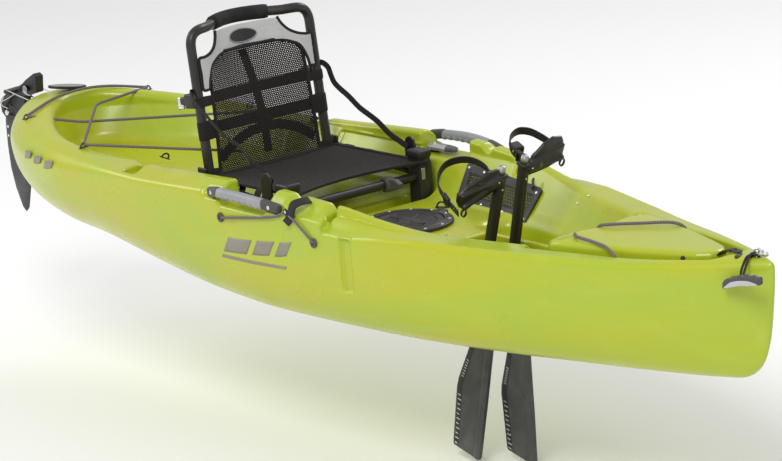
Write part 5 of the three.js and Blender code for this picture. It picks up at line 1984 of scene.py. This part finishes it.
# ---- Bow hatch fittings ----
gasket_line = [(x, y * 0.80, 269) for x, y in LID_OUTLINE if x > 900 and abs(y) > 6]
gasket_line = sorted((p for p in gasket_line if p[1] > 0), key=lambda p: p[0]) + sorted(
    (p for p in gasket_line if p[1] < 0), key=lambda p: -p[0]
)
gasket = sweep_arrays(rounded_path(gasket_line + gasket_line[:1], 20, 8), circle(5.5, 12), closed=True)
build("lid_gasket", [gasket], RUBBER, "hull", ["bow_hatch_gasket"])
tongue = [(1286, 0, 300), (1290, 0, 305), (1300, 0, 311), (1313, 0, 315.5), (1332, 0, 316), (1352, 0, 316)]
tongue_path = curve_points(tongue, 4)
tongue_scale = np.interp(np.linspace(0, 1, len(tongue_path)), [0, 0.5, 0.93, 1], [1, 1, 0.7, 0.3])
hinge = sweep_arrays(tongue_path, flat_oval(3.6, 30), up=(0, 1, 0), scale=tongue_scale)
build("lid_hinge", [hinge], RUBBER, "hull", ["hatch_hinge_strap"])
screws("hinge_screws", [((1326, y, 317.8), (0, 0, 1)) for y in (-8, 8)], "hull", material=BLACK, radius=3.4)


def vent_field(x, y, z):
    plan = np.hypot((x - 1361 + 0.35 * (y + 16)) / 8, (y + 16) / 17) - 1
    return both(plan * 8, np.abs(z - 311.5) - 3, 1.5)


sculpt("deck_vent", vent_field, (1336, -36, 304), (1386, 4, 318), 1.6, BLACK, "hull")

LID_CORDS = {
    "stbd": [(884, -96, 300), (896, -104, 311), (920, -122, 313.5), (985, -129, 312)]
    + [(1034, -132, 307), (1062, -137, 297), (1078, -141, 290)],
    "port": [(878, -18, 300), (890, -18, 312), (912, -8, 316), (968, 48, 316)]
    + [(1016, 98, 314), (1032, 112, 308), (1040, 122, 296)],
}
for name, line in LID_CORDS.items():
    cord = tube_arrays(curve_points(line, 5), 3.8, 12)
    build(f"lid_cord_{name}", [cord], CORD, "bow_lid", [f"hatch_bungee_{name}"])
lid_eyes = []
for x, y, z in ((880, -18, 298), (850, -88, 296), (1219, -60, 294), (1219, 60, 294)):
    lid_eyes.append(tube_arrays(resample([(x, y, z - 5), (x, y, z + 5)], 3), 6, 12))
build("lid_eyes", lid_eyes, BLACK, "bow_lid")

# ---- Bow carry handle ----
PALE_GREY = moulded("pale_grey", (0.46, 0.46, 0.47), 0.42, wear=0.04)
PAD_TOP = box_mm("bow_padeye")[1][2]
shackle = []
for x0, x1, tilt in ((1396, 1424, 0.2), (1412, 1440, -0.5)):
    centre = np.array([(x0 + x1) / 2, 0, PAD_TOP - 4])
    radius = (x1 - x0) / 2
    loop = ring_points(centre, np.array([radius, 0, 0]), np.array([0, tilt * 8, 7]))
    shackle.append(sweep_arrays(loop, circle(2.6, 10), closed=True))
pad_foot = resample([(1384, 0, PAD_TOP - 13), (1414, 0, PAD_TOP - 14)], 5)
shackle.append(sweep_arrays(pad_foot, flat_oval(3, 20), up=(0, 1, 0)))
build("bow_shackle", shackle, STEEL, "hull", ["bow_padeye"])
knot = [(1396, 4, 320), (1404, -10, 322), (1412, -4, 316), (1402, 6, 314), (1396, -8, 320), (1400, -16, 314)]
cord_parts = [tube_arrays(curve_points(knot, 3), 4.2, 12)]
for shift in (-5, 5):
    run = [(1400, -10, 320), (1402 + shift * 0.6, -26, 318), (1410 + shift, -44, 306)]
    run += [(1418 + shift, -60, 294), (1424 + shift * 0.6, -71, 280)]
    cord_parts.append(tube_arrays(curve_points(run, 4), 2.8, 12))
build("bow_line", cord_parts, BLACK_CORD, "toggle", ["bow_cord"])
TOGGLE_LINE = [(1366, 252), (1384, 264), (1412, 275), (1444, 282), (1476, 284), (1494, 284)]
TOGGLE_Y = -74


def toggle_field(x, y, z):
    line = np.array(TOGGLE_LINE, float)
    centre = np.interp(x, line[:, 0], line[:, 1])
    humps = 3.6 * np.abs(np.sin(np.pi * (x - 1366) / 23))
    body = both(np.abs(y - TOGGLE_Y) - 8.5, np.abs(z - centre) - 9 - humps * smooth((z - centre) / 6), 6)
    return both(body, np.abs(x - 1430) - 64, 9)


sculpt(
    "toggle_grip", toggle_field, (1360, -92, 232), (1500, -58, 306), 1.7,
    DARK_GREY, "toggle", ["bow_toggle"],
)
INSERT_LINE = [(1376, 252), (1396, 262), (1424, 271), (1456, 276), (1486, 278)]
insert_path = curve_points([(x, TOGGLE_Y - 9.2, z) for x, z in INSERT_LINE], 3)
insert_scale = np.interp(np.linspace(0, 1, len(insert_path)), [0, 0.25, 0.75, 1], [0.25, 1, 1, 0.25])
insert_band = sweep_arrays(insert_path, flat_oval(2.4, 12), up=(0, 0, 1), scale=insert_scale)
build("toggle_insert", [insert_band], PALE_GREY, "toggle")


# ---- Stern deck ----
def deck_point(x, y, lift):
    return np.array([x, y, float(deck_height(np.float64(x), np.float64(abs(y)))) + lift])


EYES = {"aft": (-1215, -206), "far": (-1218, 206), "near": (-850, -280), "port": (-850, 280)}
aft_eye, far_eye, near_eye = (deck_point(*EYES[eye], 8) for eye in ("aft", "far", "near"))
cord_runs = [
    [near_eye, deck_point(-1090, -60, 6), far_eye],
    [near_eye, deck_point(-560, -150, 0) + (0, 0, 14), (-446, -60, 318)],
    [aft_eye, (-1100, -110, deck_point(-1100, 0, -38)[2]), (-690, 262, 333)],
    [aft_eye, deck_point(-1245, -90, 5), deck_point(-1250, 0, 5), deck_point(-1245, 90, 5), far_eye],
]
cargo_parts = []
for run in cord_runs:
    line = curve_points(run, 8) if len(run) > 3 else rounded_path(run, 30, 8)
    cargo_parts.append(tube_arrays(line, 3.8, 12))
build("cargo_cords", cargo_parts, CORD, "hull", ["cargo_bungee"])
for eye_name, (x, y) in EYES.items():
    place = deck_point(x, y, 0)
    padeye(f"cargo_eye_{eye_name}", place, (0, 0, 1), (0, 1, 0), "hull", 0.8)
for name, side in SIDES:
    place = (-531, side * 250, 326)
    padeye(f"coaming_hook_{name}", place, (0.2, -side * 0.5, 0.8), (0, 0.9, side * 0.4), "hull", 0.9)
badge_low, badge_high = box_mm("stern_badge")
badge_centre = (badge_low + badge_high) / 2
BADGE_TILT = -0.16  # the badge sits lower to port


def oval_plate(half_x, half_y, lift, half_height, rounding):
    """The field of a flat oval at the badge's place, tilted with it."""

    def field(x, y, z):
        reach = np.hypot((x - badge_centre[0]) / half_x, y / half_y)
        height = z - badge_centre[2] - lift - BADGE_TILT * y
        return both((reach - 1) * half_x, np.abs(height) - half_height, rounding)

    return field


oval_from = badge_low - (6, 6, 14)
oval_rim = oval_plate(29, 61, 3, 3.6, 2)
oval_face = oval_plate(24, 54, 6.4, 1.2, 0.8)
sculpt(
    "stern_oval", oval_rim, oval_from, badge_high + (6, 6, 16), 1.8,
    BLACK, "hull", ["stern_badge"],
)
sculpt("stern_oval_face", oval_face, oval_from, badge_high + (6, 6, 18), 1.6, DULL_STEEL, "hull")
plug = centre_mm("drain_plug")
outward = np.array([-0.71, -0.71, 0.0])
plug_parts = [screw_arrays(plug - outward * 5, outward, 9, 5), screw_arrays(plug - outward, outward, 5, 6)]
build("stern_plug", plug_parts, BLACK, "hull", ["drain_plug"])


# ---- Plain marks on the sides ----
def side_patch(side, corners, lift=0.5):
    """A thin decal between a lower and an upper line of (x, z) points, lying on the hull side."""
    lower, upper = (resample(np.array([(x, z, 0) for x, z in line], float), 6) for line in corners)
    count = min(len(lower), len(upper))
    rows = []
    for line in (lower, upper):
        dense = resample(line, 1)
        rows.append(dense[np.linspace(0, len(dense) - 1, count).astype(int)])
    points = []
    steps = 5
    for k in range(steps + 1):
        share = k / steps
        for a, b in zip(*rows):
            x, z = (1 - share) * a[:2] + share * b[:2]
            points.append(on_side(side, x, z, lift))
    faces = []
    for k in range(steps):
        for i in range(count - 1):
            a = k * count + i
            faces.append((a, a + 1, a + count + 1, a + count))
    normals = np.tile([0, side, 0.0], (len(points), 1))
    return thicken(np.array(points), normals, faces, 0.7)


def slanted(x0, x1, z0, z1, lean):
    """The lower and upper lines of a bar that leans forward and rises a little towards the bow."""
    middle = (x0 + x1) / 2
    lower = [(x0, z0), (middle, z0 + 3), (x1, z0 + 8)]
    upper = [(x0 + lean, z1), (middle + lean, z1 + 3), (x1 + lean, z1 + 8)]
    return [lower, upper]


for name, side in SIDES:
    marks = [
        slanted(-140, -42, 165, 205, 26),
        slanted(-20, 48, 175, 215, 26),
        slanted(70, 116, 184, 224, 26),
        slanted(-152, 108, 148, 156, 6),
    ]
    build(f"side_marks_{name}", [side_patch(side, mark) for mark in marks], MARK_GREY, "hull")
    small = [slanted(-1100 + 66 * k, -1054 + 66 * k, 258 - 2 * k, 282 - 2 * k, 14) for k in range(3)]
    build(f"stern_marks_{name}", [side_patch(side, mark, 0.8) for mark in small], MARK_GREY, "hull")


# ---- Stage ----
def add_floor():
    bpy.ops.mesh.primitive_plane_add(size=30, location=(0, 0, CAD_BOX[0][2] - 0.004))
    floor = bpy.context.object
    floor.name = "floor"
    s = Shader("floor", (0.93, 0.93, 0.93), 0.85, specular=0.1)
    s.bump((s.noise(40, 3.0), 0.03, 0.001))
    floor.data.materials.append(s.material)


def add_area_light(name, position, target, size, watts):
    light = bpy.data.lights.new(name, "AREA")
    light.shape = "DISK"
    light.size = size
    light.energy = watts
    holder = bpy.data.objects.new(name, light)
    holder.location = position
    aim = Vector(target) - Vector(position)
    holder.rotation_euler = aim.to_track_quat("-Z", "Y").to_euler()
    bpy.context.scene.collection.objects.link(holder)


def add_world():
    world = bpy.data.worlds.new("studio")
    bpy.context.scene.world = world
    world.use_nodes = True
    tree = world.node_tree
    background = tree.nodes["Background"]
    background.inputs["Color"].default_value = (1, 1, 1, 1)
    seen = tree.nodes.new("ShaderNodeLightPath").outputs["Is Camera Ray"]
    strength = tree.nodes.new("ShaderNodeMapRange")
    strength.inputs["To Min"].default_value = WORLD_LIGHT
    strength.inputs["To Max"].default_value = 1.0
    tree.links.new(seen, strength.inputs["Value"])
    tree.links.new(strength.outputs["Result"], background.inputs["Strength"])


WORLD_LIGHT = 0.62
CAMERA_AZIMUTH = 51.32
CAMERA_ELEVATION = 14.35
CAMERA_ROLL = -4.07
CAMERA_PLACE = (8.399, -6.666, 2.899)
CAMERA_LENS = 200.2


def add_camera():
    azimuth, elevation, roll = (math.radians(v) for v in (CAMERA_AZIMUTH, CAMERA_ELEVATION, CAMERA_ROLL))
    right = Vector((math.cos(azimuth), math.sin(azimuth), 0))
    level = math.cos(elevation)
    back = Vector((math.sin(azimuth) * level, -math.cos(azimuth) * level, math.sin(elevation)))
    up = back.cross(right)
    turned_right = right * math.cos(roll) + up * math.sin(roll)
    turned_up = up * math.cos(roll) - right * math.sin(roll)
    camera = bpy.data.cameras.new("camera")
    camera.lens = CAMERA_LENS
    camera.sensor_width = 36
    camera.clip_end = 100
    holder = bpy.data.objects.new("camera", camera)
    rotation = Matrix((turned_right, turned_up, back)).transposed().to_4x4()
    holder.matrix_world = Matrix.Translation(CAMERA_PLACE) @ rotation
    bpy.context.scene.collection.objects.link(holder)
    bpy.context.scene.camera = holder


add_floor()
add_world()
add_area_light("key", (3.5, -4.5, 5.5), (0, 0, 0.2), 3.0, 260)
add_area_light("fill", (-5.0, -3.0, 3.5), (-0.4, 0, 0.2), 3.0, 90)
add_area_light("rim", (-1.0, 5.0, 4.5), (0, 0, 0.2), 2.5, 110)
add_camera()
bpy.context.scene.view_settings.view_transform = "Standard"
